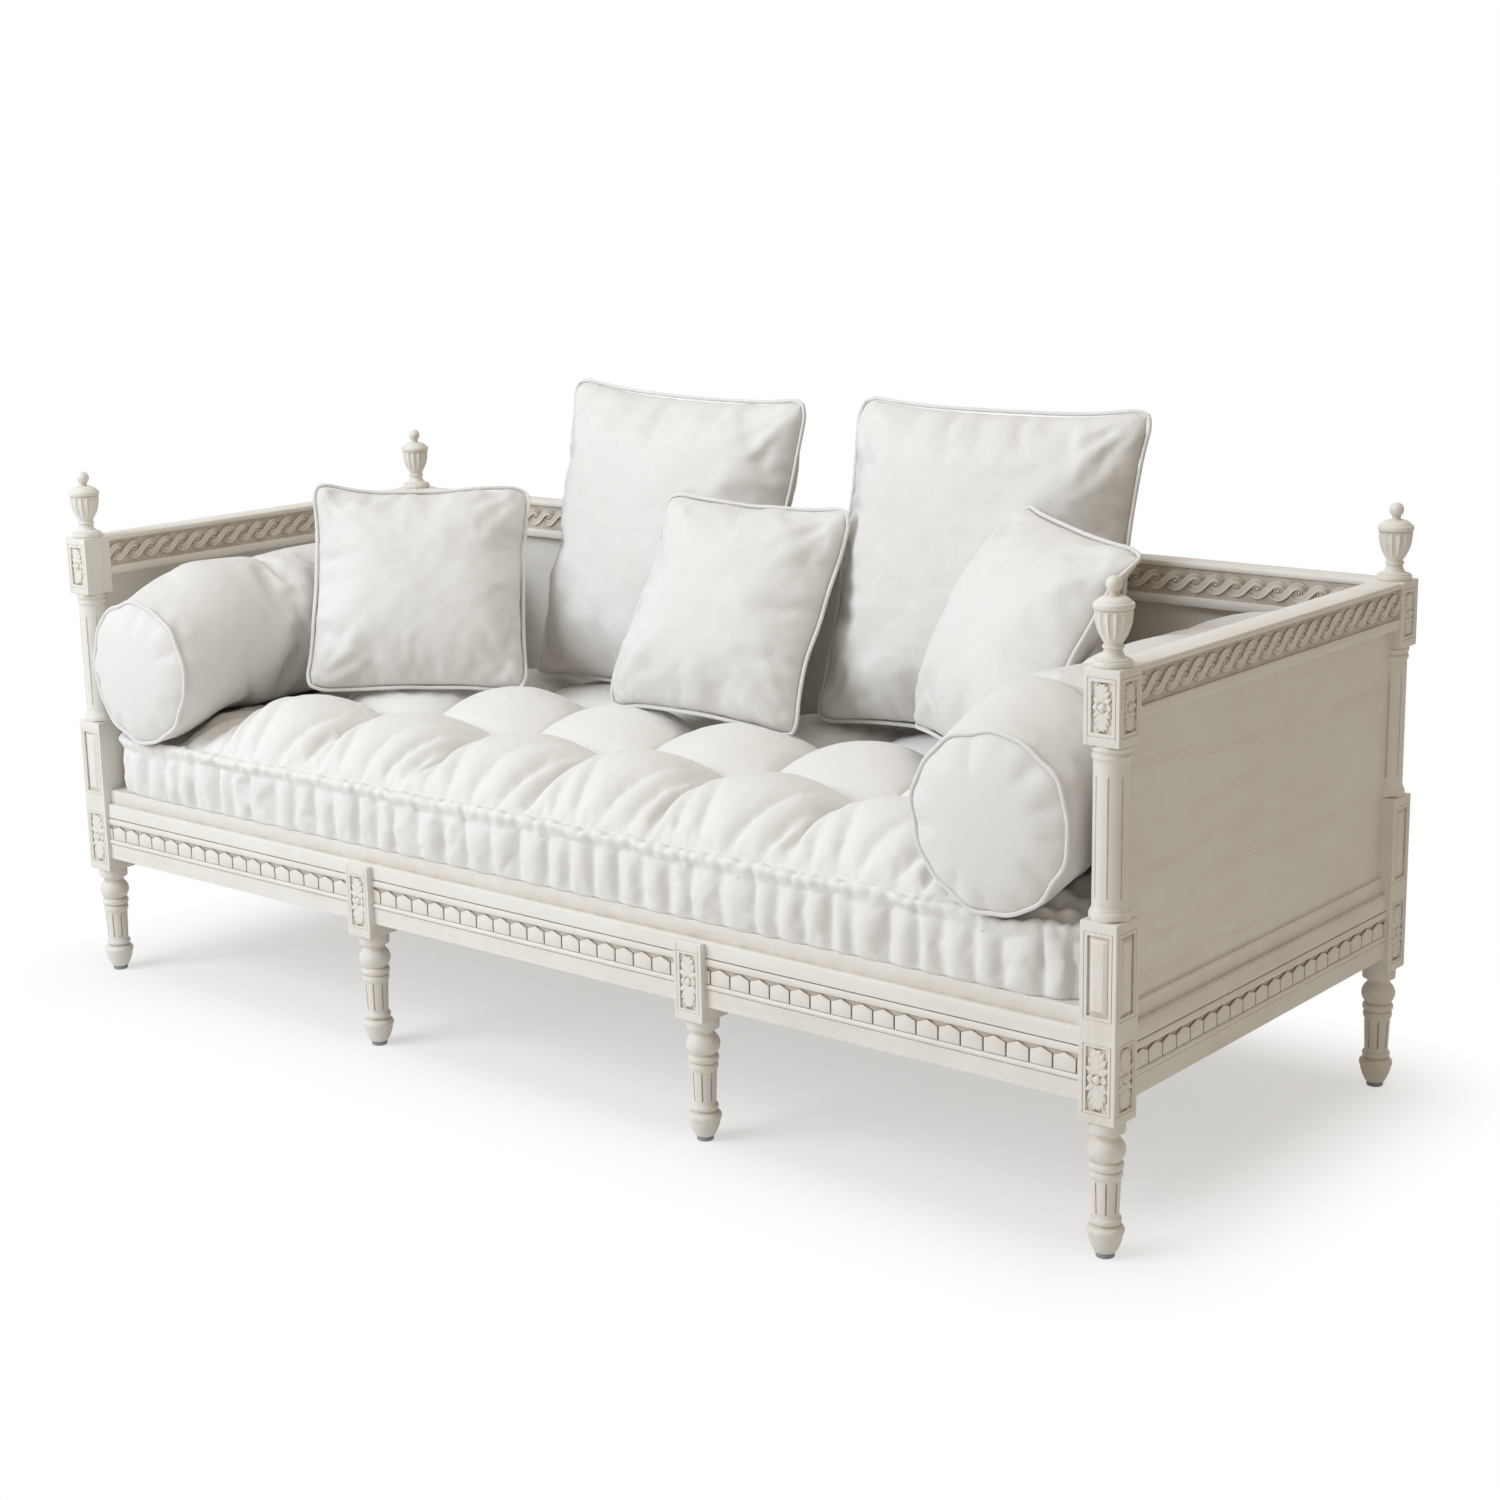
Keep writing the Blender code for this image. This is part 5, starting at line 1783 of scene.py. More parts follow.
@dataclass(frozen=True)
class Stuffing:
    """How a cover is filled: pressure, spare cloth, time and how stiff the cloth is."""

    pressure: float = 4.0
    spare: float = 0.035
    frames: int = 20
    stretch: float = 20.0
    bending: float = 0.25
    cap: float = 0.030

    def fill(self, points: np.ndarray, faces: list[tuple[int, ...]], held: np.ndarray) -> np.ndarray:
        """Lets a cover swell and wrinkle by cloth simulation.

        Args:
            points: Where the cover starts.
            faces: Its faces.
            held: Points that do not move.

        Returns:
            Where the points end, none further off than the cap.
        """
        scene = bpy.context.scene
        mesh = bpy.data.meshes.new("filling")
        mesh.from_pydata(points.tolist(), [], faces)
        cover = linked("filling", mesh)
        group = cover.vertex_groups.new(name="held")
        group.add(np.nonzero(held)[0].tolist(), 1.0, "REPLACE")
        cloth = cover.modifiers.new("cloth", "CLOTH")
        rules = cloth.settings
        rules.quality, rules.mass, rules.air_damping = 6, 0.3, 2.0
        rules.tension_stiffness = rules.compression_stiffness = self.stretch
        rules.shear_stiffness, rules.bending_stiffness = 0.3 * self.stretch, self.bending
        rules.tension_damping = rules.compression_damping = rules.shear_damping = 8.0
        rules.vertex_group_mass, rules.pin_stiffness = "held", 1.0
        rules.use_pressure, rules.uniform_pressure_force = True, self.pressure
        rules.shrink_min = -self.spare
        rules.effector_weights.gravity = 0.0
        cloth.collision_settings.use_collision = False
        cloth.point_cache.frame_start, cloth.point_cache.frame_end = 1, self.frames
        for moment in range(1, self.frames + 1):
            scene.frame_set(moment)
        after = np.zeros(len(points) * 3)
        cover.evaluated_get(bpy.context.evaluated_depsgraph_get()).data.vertices.foreach_get("co", after)
        scene.frame_set(1)
        bpy.data.objects.remove(cover)
        step = after.reshape(-1, 3) - points
        length = np.linalg.norm(step, axis=1, keepdims=True)
        return points + step * np.minimum(1.0, self.cap / np.maximum(length, 1e-9))


def sewn_piece(
    name: str, points: np.ndarray, faces: list[tuple[int, ...]], places: np.ndarray, finish: bpy.types.Material
) -> bpy.types.Object:
    """Makes a filled cover an object, once subdivided, with its weave map.

    Args:
        name: The piece's name.
        points: The cover's points.
        faces: Its faces.
        places: Cloth place of each face corner.
        finish: The cloth.

    Returns:
        The object, at the origin.
    """
    mesh = bpy.data.meshes.new(name)
    mesh.from_pydata(points.tolist(), [], faces)
    weave = mesh.uv_layers.new(name="weave")
    weave.data.foreach_set("uv", places.astype(np.float32).ravel())
    mesh.shade_smooth()
    mesh.materials.append(finish)
    rough = linked(name + "_cage", mesh)
    finer = rough.modifiers.new("finer", "SUBSURF")
    finer.levels = finer.render_levels = 1
    graph = bpy.context.evaluated_depsgraph_get()
    smooth = bpy.data.meshes.new_from_object(rough.evaluated_get(graph), preserve_all_data_layers=True, depsgraph=graph)
    bpy.data.objects.remove(rough)
    smooth.name = name
    return linked(name, smooth)


def piping_tree() -> bpy.types.NodeTree:
    """Makes the geometry tree that runs a round covered cord along a seam.

    Returns:
        A tree with Seam, Radius and Finish inputs.
    """
    inputs = {"Seam": "Geometry", "Radius": "Float", "Finish": "Material"}
    board, given = new_geometry_tree("piping_along_seam", inputs)
    seam = board.add("GeometryNodeMeshToCurve", {0: given.outputs["Seam"]})
    round_cut = {"Resolution": 10, "Radius": given.outputs["Radius"]}
    ring = board.add("GeometryNodeCurvePrimitiveCircle", round_cut, mode="RADIUS")
    marked = []
    for curve, label in ((seam, "along"), (ring, "around")):
        length = board.add("GeometryNodeSplineParameter").outputs["Length"]
        store = board.add("GeometryNodeStoreNamedAttribute", data_type="FLOAT", domain="POINT")
        store.inputs["Name"].default_value = label
        board.tree.links.new(curve.outputs[0], store.inputs["Geometry"])
        board.tree.links.new(length, store.inputs["Value"])
        marked.append(store.outputs[0])
    tube = board.add("GeometryNodeCurveToMesh", {"Curve": marked[0], "Profile Curve": marked[1]})
    along = board.add("GeometryNodeInputNamedAttribute", {"Name": "along"}, data_type="FLOAT")
    around = board.add("GeometryNodeInputNamedAttribute", {"Name": "around"}, data_type="FLOAT")
    place = board.add("ShaderNodeCombineXYZ", {0: along.outputs[0], 1: around.outputs[0]})
    weave = board.add("GeometryNodeStoreNamedAttribute", data_type="FLOAT2", domain="CORNER")
    weave.inputs["Name"].default_value = "weave"
    board.tree.links.new(tube.outputs[0], weave.inputs["Geometry"])
    board.tree.links.new(place.outputs[0], weave.inputs["Value"])
    return end_geometry_tree(board, given, weave.outputs[0])


def stitch_tree() -> bpy.types.NodeTree:
    """Makes the geometry tree that lays one thread stitch at each point.

    Returns:
        A tree with Points, Length, Radius and Finish inputs.
    """
    inputs = {"Points": "Geometry", "Length": "Float", "Radius": "Float", "Finish": "Material"}
    board, given = new_geometry_tree("thread_stitches", inputs)
    bead = board.add("GeometryNodeMeshUVSphere", {"Segments": 6, "Rings": 5, "Radius": 1.0})
    length, radius = given.outputs["Length"], given.outputs["Radius"]
    size = board.add("ShaderNodeCombineXYZ", {0: length, 1: radius, 2: radius})
    thread = board.add("GeometryNodeTransform", {"Geometry": bead.outputs[0], "Scale": size.outputs[0]})
    smooth = board.add("GeometryNodeSetShadeSmooth", {0: thread.outputs[0]})
    turn = board.add("GeometryNodeInputNamedAttribute", {"Name": "turn"}, data_type="FLOAT_VECTOR")
    spread = board.add(
        "GeometryNodeInstanceOnPoints",
        {"Points": given.outputs["Points"], "Instance": smooth.outputs[0], "Rotation": turn.outputs[0]},
    )
    return end_geometry_tree(board, given, spread.outputs[0])


def piping_piece(
    name: str, seams: Sequence[np.ndarray], radius: float, tree: bpy.types.NodeTree, finish: bpy.types.Material
) -> bpy.types.Object:
    """Runs piping along closed seams.

    Args:
        name: The piece's name.
        seams: Points of each closed seam, in order.
        radius: The piping's radius.
        tree: The piping tree.
        finish: The cloth.

    Returns:
        The object, at the origin.
    """
    points, edges, start = np.vstack(seams), [], 0
    for seam in seams:
        edges += [(start + i, start + (i + 1) % len(seam)) for i in range(len(seam))]
        start += len(seam)
    path = bpy.data.meshes.new("seam")
    path.from_pydata(points.tolist(), edges, [])
    mesh = through_nodes(tree, {"Radius": radius, "Finish": finish}, path)
    mesh.name = name
    mesh.shade_smooth()
    return linked(name, mesh)


def evened(ring: np.ndarray, step: float) -> np.ndarray:
    """Spaces the points of a closed ring evenly, a step apart or a little less.

    Args:
        ring: The ring's points in order.
        step: The longest step.

    Returns:
        The new points in order.
    """
    closed = np.vstack([ring, ring[:1]])
    run = np.concatenate([[0.0], np.cumsum(np.linalg.norm(np.diff(closed, axis=0), axis=1))])
    marks = np.linspace(0.0, run[-1], int(run[-1] / step) + 1)[:-1]
    return np.stack([np.interp(marks, run, closed[:, k]) for k in range(3)], axis=1)


def tree_of(pieces: Sequence[bpy.types.Object]) -> BVHTree:
    """Gives one search tree of finished pieces.

    Args:
        pieces: The pieces, at the origin.

    Returns:
        A tree of all their faces.
    """
    corners: list[Vector] = []
    faces: list[list[int]] = []
    for piece in pieces:
        start = len(corners)
        corners += [corner.co.copy() for corner in piece.data.vertices]
        faces += [[start + k for k in face.vertices] for face in piece.data.polygons]
    return BVHTree.FromPolygons(corners, faces)


def pushed_clear(points: np.ndarray, tree: BVHTree, margin: float) -> np.ndarray:
    """Moves points out of what they press on.

    Args:
        points: Places on a cushion.
        tree: Search tree of what it lies against.
        margin: The least distance kept.

    Returns:
        The places, none nearer than the margin.
    """
    points = points.copy()
    for number, point in enumerate(points.tolist()):
        near, normal, _, away = tree.find_nearest(point, 0.09)
        if near is None:
            continue
        depth = (Vector(point) - near).dot(normal)
        if depth < 0.0 or away < margin:
            points[number] += np.array(normal) * (margin - depth)
    return points


@dataclass
class SquarePillow:
    """A piped square pillow, made upright and facing the front, then leaned in its place."""

    node: str
    size: float
    thick: float
    place: tuple[float, float, float]
    yaw: float
    lean: float
    spin: float
    seed: int
    draw_in: float = 0.064
    round_corner: float = 0.042
    curl: float = 0.023
    piping: float = 0.0034
    fullness: float = 0.40
    crease: float = 0.0032
    wave: float = 0.0046
    cell: float = 0.0118
    start: float = 0.37

    def outline(self, u: np.ndarray, v: np.ndarray) -> tuple[np.ndarray, np.ndarray]:
        """Rounds the corners of a square grid and draws its sides in.

        Args:
            u: Place across, from -1 to 1.
            v: Place up, from -1 to 1.

        Returns:
            Places across and up, in metres.
        """
        half = 0.5 * self.size - self.piping * 0.8
        cell = self.round_corner / half
        a = np.clip((np.abs(u) - 1.0 + cell) / cell, 0.0, 1.0)
        b = np.clip((np.abs(v) - 1.0 + cell) / cell, 0.0, 1.0)
        pull = np.maximum(a, b) / np.maximum(np.hypot(a, b), 1e-9)
        both = (a > 0.0) & (b > 0.0)
        ru = np.where(both, np.sign(u) * (1.0 - cell + cell * a * pull), u)
        rv = np.where(both, np.sign(v) * (1.0 - cell + cell * b * pull), v)
        across = half * ru * (1.0 - self.draw_in * (1.0 - np.abs(v) ** 3))
        up = half * rv * (1.0 - self.draw_in * (1.0 - np.abs(u) ** 3))
        return across, up

    def uneven(self, u: np.ndarray, v: np.ndarray, chance: np.random.Generator) -> tuple[np.ndarray, np.ndarray]:
        """Works out the seam's waves and the creases that fan out of the corners.

        Args:
            u: Place across, from -1 to 1.
            v: Place up, from -1 to 1.
            chance: The seeded source of the unevenness.

        Returns:
            How far both sheets wave, and how far each one creases, in metres.
        """
        phases = chance.uniform(0.0, 6.28, 3)
        turn = np.arctan2(v, u)
        wave = self.wave * (
            np.sin(2.0 * turn + phases[0])
            + 0.7 * np.sin(5.0 * turn + phases[1])
            + 0.4 * np.sin(11.0 * turn + phases[2])
        )
        wave = wave * np.maximum(np.abs(u), np.abs(v)) ** 2
        fan = np.zeros_like(u)
        for end_u, end_v, lift in zip((-1.0, 1.0, 1.0, -1.0), (-1.0, -1.0, 1.0, 1.0), chance.uniform(-1.0, 1.0, 4)):
            near = np.hypot(u - end_u, v - end_v) * 0.5 * self.size
            wave += self.curl * lift * np.exp(-((near / 0.045) ** 2))
            bearing = np.arctan2(1.0 - v * end_v, 1.0 - u * end_u)
            fan += np.sin(15.0 * bearing + 5.0 * lift) * near / 0.075 * np.exp(1.0 - near / 0.075)
        fan *= self.crease * smooth_step(0.0, 0.10, 1.0 - np.maximum(np.abs(u), np.abs(v)))
        return wave, fan

    def build(self, cotton: bpy.types.Material, tree: bpy.types.NodeTree, against: BVHTree) -> list[bpy.types.Object]:
        """Sews, fills, pipes and places the pillow.

        Args:
            cotton: The cloth.
            tree: The piping tree.
            against: Search tree of what the pillow leans on.

        Returns:
            The cover and its piping.
        """
        chance = np.random.default_rng(self.seed)
        count = int(round(self.size / self.cell))
        marks = np.linspace(-1.0, 1.0, count + 1)
        u, v = np.meshgrid(marks, marks)
        x, z = self.outline(u, v)
        edge = (np.maximum(np.abs(u), np.abs(v)) > 1.0 - 1e-9)
        crown = (np.maximum(0.0, 1.0 - u * u) * np.maximum(0.0, 1.0 - v * v)) ** self.fullness
        wave, fan = self.uneven(u, v, chance)
        cover = Cover((0.0, 0.0, 0.0))
        for side in (-1.0, 1.0):
            ripple = chance.normal(0.0, 0.0009, u.shape) * ~edge
            grid = np.stack([x, side * (self.start * self.thick * crown + fan) + wave + ripple, z], axis=-1)
            cover.sheet(grid, np.stack([x, z], axis=-1) * 1.04, edge)
        points, faces, held, places, number = cover.welded()
        points = Stuffing(spare=0.056, bending=0.16).fill(points, faces, held)
        index = number[: u.size].reshape(u.shape)
        if np.linalg.norm(points[index[0, 0]][0] - x[0, 0]) > 0.01:
            index = index[:, ::-1]
        ring = np.concatenate([index[0, :-1], index[:-1, -1], index[-1, :0:-1], index[:0:-1, 0]])
        bend = tuple(math.radians(d) for d in (-self.lean, self.spin, self.yaw))
        stand = np.array((Matrix.Translation(self.place) @ Euler(bend, "YXZ").to_matrix().to_4x4()))
        points = points @ stand[:3, :3].T + stand[:3, 3]
        points[ring] = pushed_clear(points[ring], against, self.piping + 0.003)
        points = pushed_clear(points, against, 0.006)
        label = self.node.replace("pillow", "piped_pillow")
        cushion = sewn_piece(label, points, faces, places, cotton)
        spots = np.zeros(len(cushion.data.vertices) * 3)
        cushion.data.vertices.foreach_get("co", spots)
        cushion.data.vertices.foreach_set("co", pushed_clear(spots.reshape(-1, 3), against, 0.004).ravel())
        cushion.data.update()
        middle = points[ring].mean(axis=0)
        out = points[ring] - middle
        seam = points[ring] + out / np.linalg.norm(out, axis=1, keepdims=True) * self.piping * 0.1
        cord = piping_piece(label + "_piping", [evened(seam, 0.006)], self.piping, tree, cotton)
        return [settle(cushion, self.node, "cotton", self.node), settle(cord, self.node, "cotton")]


@dataclass
class Bolster:
    """A long round cushion with piped caps, its front end drooping over the mattress edge."""

    node: str
    centre: tuple[float, float, float]
    seed: int
    length: float = 0.770
    ring: float = 0.1215
    belly: float = 0.1275
    dome: float = 0.020
    droop: float = 0.040
    droop_run: float = 0.150
    reach: float = 0.1290
    give: float = 0.014
    piping: float = 0.0036

    def build(self, cotton: bpy.types.Material, tree: bpy.types.NodeTree) -> list[bpy.types.Object]:
        """Sews, fills, pipes and places the bolster.

        Args:
            cotton: The cloth.
            tree: The piping tree.

        Returns:
            The cover and its piping.
        """
        chance = np.random.default_rng(self.seed)
        around, along, spokes = 76, 64, 10
        turn = np.linspace(0.0, 2.0 * math.pi, around + 1)
        turn[-1] = 0.0
        phases = chance.uniform(0.0, 6.28, 4)
        wobble = 0.0016 * (
            np.sin(3.0 * turn + phases[0])
            + np.sin(8.0 * turn + phases[1])
            + 0.8 * np.sin(13.0 * turn + phases[2])
        )
        share = np.linspace(0.0, 1.0, along + 1)[:, None]
        swell = np.clip(1.0 - (2.0 * share - 1.0) ** 8, 0.0, 1.0)
        at_end = np.maximum(1.0 - share * 14.0, 0.0) + np.maximum(1.0 - (1.0 - share) * 14.0, 0.0)
        radius = self.ring + (self.belly - self.ring) * swell + wobble[None, :] * at_end
        radius = radius + chance.normal(0.0, 0.0006, radius.shape) * (swell > 0.0)
        radius[:, -1] = radius[:, 0]
        y = np.broadcast_to((share - 0.5) * self.length, radius.shape)
        body = np.stack([radius * np.cos(turn), y, radius * np.sin(turn)], axis=-1)
        arc = np.linspace(0.0, 2.0 * math.pi * self.belly, around + 1)
        cloth = np.stack(np.broadcast_arrays(arc[None, :], y), axis=-1)
        ends = np.zeros(radius.shape, bool)
        ends[0], ends[-1] = True, True
        cover = Cover((0.0, 0.0, 0.0))
        cover.sheet(body, cloth, ends)
        rho = np.linspace(0.0, 1.0, spokes + 1)[:, None]
        for row, side in ((0, -1.0), (-1, 1.0)):
            rim = radius[row][None, :]
            flat = rho * rim
            out = side * (0.5 * self.length + 0.75 * self.dome * (1.0 - rho**2.4)) + 0.0 * flat
            cap = np.stack([flat * np.cos(turn), out, flat * np.sin(turn)], axis=-1)
            spread = np.stack([cap[..., 0], cap[..., 2]], axis=-1)
            cover.sheet(cap, spread, np.broadcast_to(rho > 1.0 - 1e-9, flat.shape))
        points, faces, held, places, number = cover.welded()
        points = Stuffing(pressure=3.0, spare=0.042, cap=0.010, bending=0.22).fill(points, faces, held)
        sag = smooth_step(0.0, self.droop_run, -(points[:, 1] + 0.5 * self.length - self.droop_run))
        points[:, 2] -= self.droop * sag
        outer = math.copysign(1.0, self.centre[0])
        over = np.maximum(outer * points[:, 0] - self.reach + self.give, 0.0)
        points[:, 0] -= outer * (over - self.give * (1.0 - np.exp(-over / self.give)))
        points = points + np.array(self.centre)
        label = self.node.replace("bolster", "piped_bolster")
        cushion = sewn_piece(label, points, faces, places, cotton)
        index = number[: radius.size].reshape(radius.shape)
        seams = []
        for row in (0, -1):
            rim = points[index[row, :-1]]
            out = rim - rim.mean(axis=0)
            seams.append(evened(rim + out / np.linalg.norm(out, axis=1, keepdims=True) * 0.0012, 0.006))
        cord = piping_piece(label + "_piping", seams, self.piping, tree, cotton)
        return [settle(cushion, self.node, "cotton", self.node), settle(cord, self.node, "cotton")]


@dataclass
class TuftedMattress:
    """A hand-stitched mattress: tufted puffs, a stitched roll along the top edge and gathered sides."""

    half_x: float = 1.0152
    front: float = -0.4158
    back: float = 0.3642
    foot: float = 0.3423
    edge_z: float = 0.4440
    crown: float = 0.0900
    roll: float = 0.0105
    corner: float = 0.014
    puffs_x: int = 8
    puffs_y: int = 3
    end_press: float = 0.050
    back_press: float = 0.045
    step: float = 0.0072
    fold: float = 0.021
    fold_reach: float = 0.110
    pull: float = 0.30
    clear: float = 0.003
    near: float = 0.004
    seed: int = 11

    def stitch_marks(self, length: float, chance: np.random.Generator) -> np.ndarray:
        """Spaces the edge stitches unevenly along a side.

        Args:
            length: The side's length.
            chance: The seeded source of the unevenness.

        Returns:
            Marks from 0 to the length.
        """
        count = int(round(length / 0.051))
        gaps = chance.uniform(0.72, 1.28, count)
        return np.concatenate([[0.0], np.cumsum(gaps)]) / gaps.sum() * length

    def between(self, place: np.ndarray, marks: np.ndarray) -> np.ndarray:
        """Gives 0 at each stitch and 1 midway to the next.

        Args:
            place: Places along a side.
            marks: The side's stitches.

        Returns:
            Shares from 0 to 1.
        """
        number = np.clip(np.searchsorted(marks, place, side="right") - 1, 0, len(marks) - 2)
        share = (place - marks[number]) / (marks[number + 1] - marks[number])
        return np.sin(math.pi * np.clip(share, 0.0, 1.0)) ** 0.55

    def puff(self, u: np.ndarray, v: np.ndarray) -> np.ndarray:
        """Gives the height of the puffs over the edge, for u and v from 0 to 1.

        Args:
            u: Places across the top.
            v: Places up the top.

        Returns:
            Heights, in metres.
        """
        nx, ny = self.puffs_x, self.puffs_y
        a = np.abs(np.sin(math.pi * u * nx)) ** 0.66
        b = np.abs(np.sin(math.pi * v * ny)) ** 0.66
        inner = 0.36 * (a + b) + 0.28 * a * b
        rim_x = np.minimum(u, 1.0 - u) * nx < 0.5
        rim_y = np.minimum(v, 1.0 - v) * ny < 0.5
        share = np.where(rim_y, b * (0.36 + 0.64 * a), inner)
        share = np.where(rim_x, a * (0.36 + 0.64 * b), share)
        share = np.where(rim_x & rim_y, a * b, share)
        press = self.end_press * smooth_step(1.25, 0.85, np.minimum(u, 1.0 - u) * nx)
        press = np.maximum(press, self.back_press * smooth_step(1.2, 0.8, (1.0 - v) * ny))
        return (self.crown - press) * share

    def folds(self, u: np.ndarray, v: np.ndarray, marks: list[np.ndarray], wide: float, deep: float) -> np.ndarray:
        """Works out the folds that run in from the edge stitches.

        Args:
            u: Places across the top, from 0 to 1.
            v: Places up the top, from 0 to 1.
            marks: Stitch marks of the four sides.
            wide: Length of a long side.
            deep: Length of a short side.

        Returns:
            Height of the folds over the puffs.
        """
        away = [v * deep, (1.0 - u) * wide, (1.0 - v) * deep, u * wide]
        place = [u * wide, v * deep, (1.0 - u) * wide, (1.0 - v) * deep]
        folds = np.zeros_like(u)
        for side in range(4):
            pitch = wide / self.puffs_x if side % 2 == 0 else deep / self.puffs_y
            lean = 0.30 * np.sin(2.0 * math.pi * place[side] / pitch) * away[side]
            gather = self.between(np.clip(place[side] + lean, 0.0, marks[side][-1]), marks[side])
            fade = np.exp(-((away[side] / self.fold_reach) ** 2))
            folds += (self.fold * (gather - 0.66)) * fade * smooth_step(0.0, 0.02, away[side])
        return folds

    def build(
        self,
        ticking: bpy.types.Material,
        thread: bpy.types.Material,
        stitches: bpy.types.NodeTree,
        resting: BVHTree,
        sliding: BVHTree,
    ) -> list[bpy.types.Object]:
        """Sews, tufts, fills and stitches the mattress.

        Args:
            ticking: The cover's cloth.
            thread: The stitches' finish.
            stitches: The stitch tree.
            resting: Search tree of the cushions that press on it.
            sliding: Search tree of those that pull forwards over it.

        Returns:
            The cover and its stitches.
        """
        chance = np.random.default_rng(self.seed)
        wide, deep = 2.0 * self.half_x, self.back - self.front
        nx = int(round(wide / self.step / self.puffs_x)) * self.puffs_x
        ny = int(round(deep / self.step / self.puffs_y)) * self.puffs_y
        u, v = np.meshgrid(np.linspace(0.0, 1.0, nx + 1), np.linspace(0.0, 1.0, ny + 1))
        rim_in = self.roll * 1.6
        x = (2.0 * u - 1.0) * (self.half_x - rim_in)
        y = self.front + rim_in + v * (deep - 2.0 * rim_in)
        cut = (np.abs(2.0 * u - 1.0) ** 30) * (np.abs(2.0 * v - 1.0) ** 14)
        x, y = x - np.sign(x) * self.corner * cut, y - np.sign(v - 0.5) * self.corner * cut
        marks = [self.stitch_marks(length, chance) for length in (wide, deep, wide, deep)]
        folds = self.folds(u, v, marks, wide, deep)
        z = self.edge_z + 0.86 * self.puff(u, v) + folds + chance.normal(0.0, 0.0005, u.shape)
        border = (u < 1e-9) | (u > 1.0 - 1e-9) | (v < 1e-9) | (v > 1.0 - 1e-9)
        ring = self.ring_of(u.shape)
        rim = np.stack([x, y], axis=-1).reshape(-1, 2)[ring]
        run = np.concatenate([[0.0], np.cumsum(np.linalg.norm(np.diff(np.vstack([rim, rim[:1]]), axis=0), axis=1))])
        lump, bulge, pinned = self.along_ring(ring, u, v, marks, wide, deep)
        z.reshape(-1)[ring] = self.edge_z - 0.003 + 0.003 * lump
        tuft = np.zeros_like(border)
        for i in range(1, self.puffs_x):
            for j in range(1, self.puffs_y):
                tuft[j * ny // self.puffs_y, i * nx // self.puffs_x] = True
        top_held = tuft.copy()
        top_held.reshape(-1)[ring] |= pinned
        cover = Cover((0.0, 0.5 * (self.front + self.back), 0.40))
        cover.sheet(np.stack([x, y, z], axis=-1), np.stack([x, y], axis=-1) * 1.05, top_held)
        out = self.outward(rim)
        band, band_held = [], []
        top = np.column_stack([rim, z.reshape(-1)[ring]])
        bend = np.radians([35.0, 75.0, 115.0, 150.0, 185.0])
        size = self.roll * (0.50 + 0.70 * lump)
        band.append(top)
        band_held.append(pinned)
        for angle in bend:
            reach = rim_in * 0.55 - size * math.cos(angle) * 0.9 + 0.002 * bulge
            height = self.edge_z - self.roll * 0.55 + size * math.sin(angle) * 0.95
            band.append(np.column_stack([rim + out * reach[:, None], height]))
            band_held.append(np.zeros(len(rim), bool))
        drop = np.concatenate([[0.0], np.linspace(0.05, 1.0, 11)])
        low, high = self.foot, self.edge_z - self.roll * 1.9
        for t in drop:
            belly = math.sin(math.pi * min(max(t, 0.0), 1.0)) ** 0.6
            reach = rim_in - 0.0075 + 0.0050 * belly + (0.0060 + 0.0130 * belly) * (bulge - 0.66)
            level = high + (low - high) * t
            band.append(np.column_stack([rim + out * reach[:, None], np.full(len(rim), level)]))
            band_held.append(pinned if t == 0.0 else np.full(len(rim), t > 0.999))
        grid = np.stack(band)
        grid[1:-1] += chance.normal(0.0, 0.0005, grid[1:-1].shape)
        grid = np.concatenate([grid, grid[:, :1]], axis=1)
        fall = np.concatenate([[0.0], np.cumsum(np.linalg.norm(np.diff(grid[:, 0], axis=0), axis=1))])
        cloth = np.stack(np.broadcast_arrays(run[None, :] * 1.08, fall[:, None]), axis=-1)
        side_held = np.stack(band_held)
        cover.sheet(grid, cloth, np.concatenate([side_held, side_held[:, :1]], axis=1))
        points, faces, held, places, number = cover.welded()
        points = Stuffing(pressure=3.0, spare=0.05, frames=16, cap=0.016, bending=0.15).fill(points, faces, held)
        points = self.pressed(points, resting, sliding)
        cushion = sewn_piece("tufted_mattress", points, faces, places, ticking)
        self.close_foot(cushion.data)
        threads = self.threads(points, number, u.size, len(rim), pinned, thread, stitches)
        return [settle(cushion, "mattress", "ticking", "mattress"), settle(threads, "mattress", "ticking")]

    def close_foot(self, mesh: bpy.types.Mesh) -> None:
        """Closes the open foot of the cover with one flat face.

        Args:
            mesh: The finished cover, open below.
        """
        work = bmesh.new()
        work.from_mesh(mesh)
        rim = [edge for edge in work.edges if edge.is_boundary]
        made = bmesh.ops.holes_fill(work, edges=rim, sides=0)["faces"]
        weave = work.loops.layers.uv["weave"]
        for face in made:
            face.normal_update()
            if face.normal.z > 0.0:
                face.normal_flip()
            for loop in face.loops:
                loop[weave].uv = loop.vert.co.xy
        work.to_mesh(mesh)
        work.free()

    def ring_of(self, shape: tuple[int, int]) -> np.ndarray:
        """Lists the border corners of the top, from the front left round by the right.

        Args:
            shape: Rows and columns of the top.

        Returns:
            Corner numbers in order.
        """
        rows, columns = shape
        index = np.arange(rows * columns).reshape(rows, columns)
        return np.concatenate([index[0, :-1], index[:-1, -1], index[-1, :0:-1], index[:0:-1, 0]])

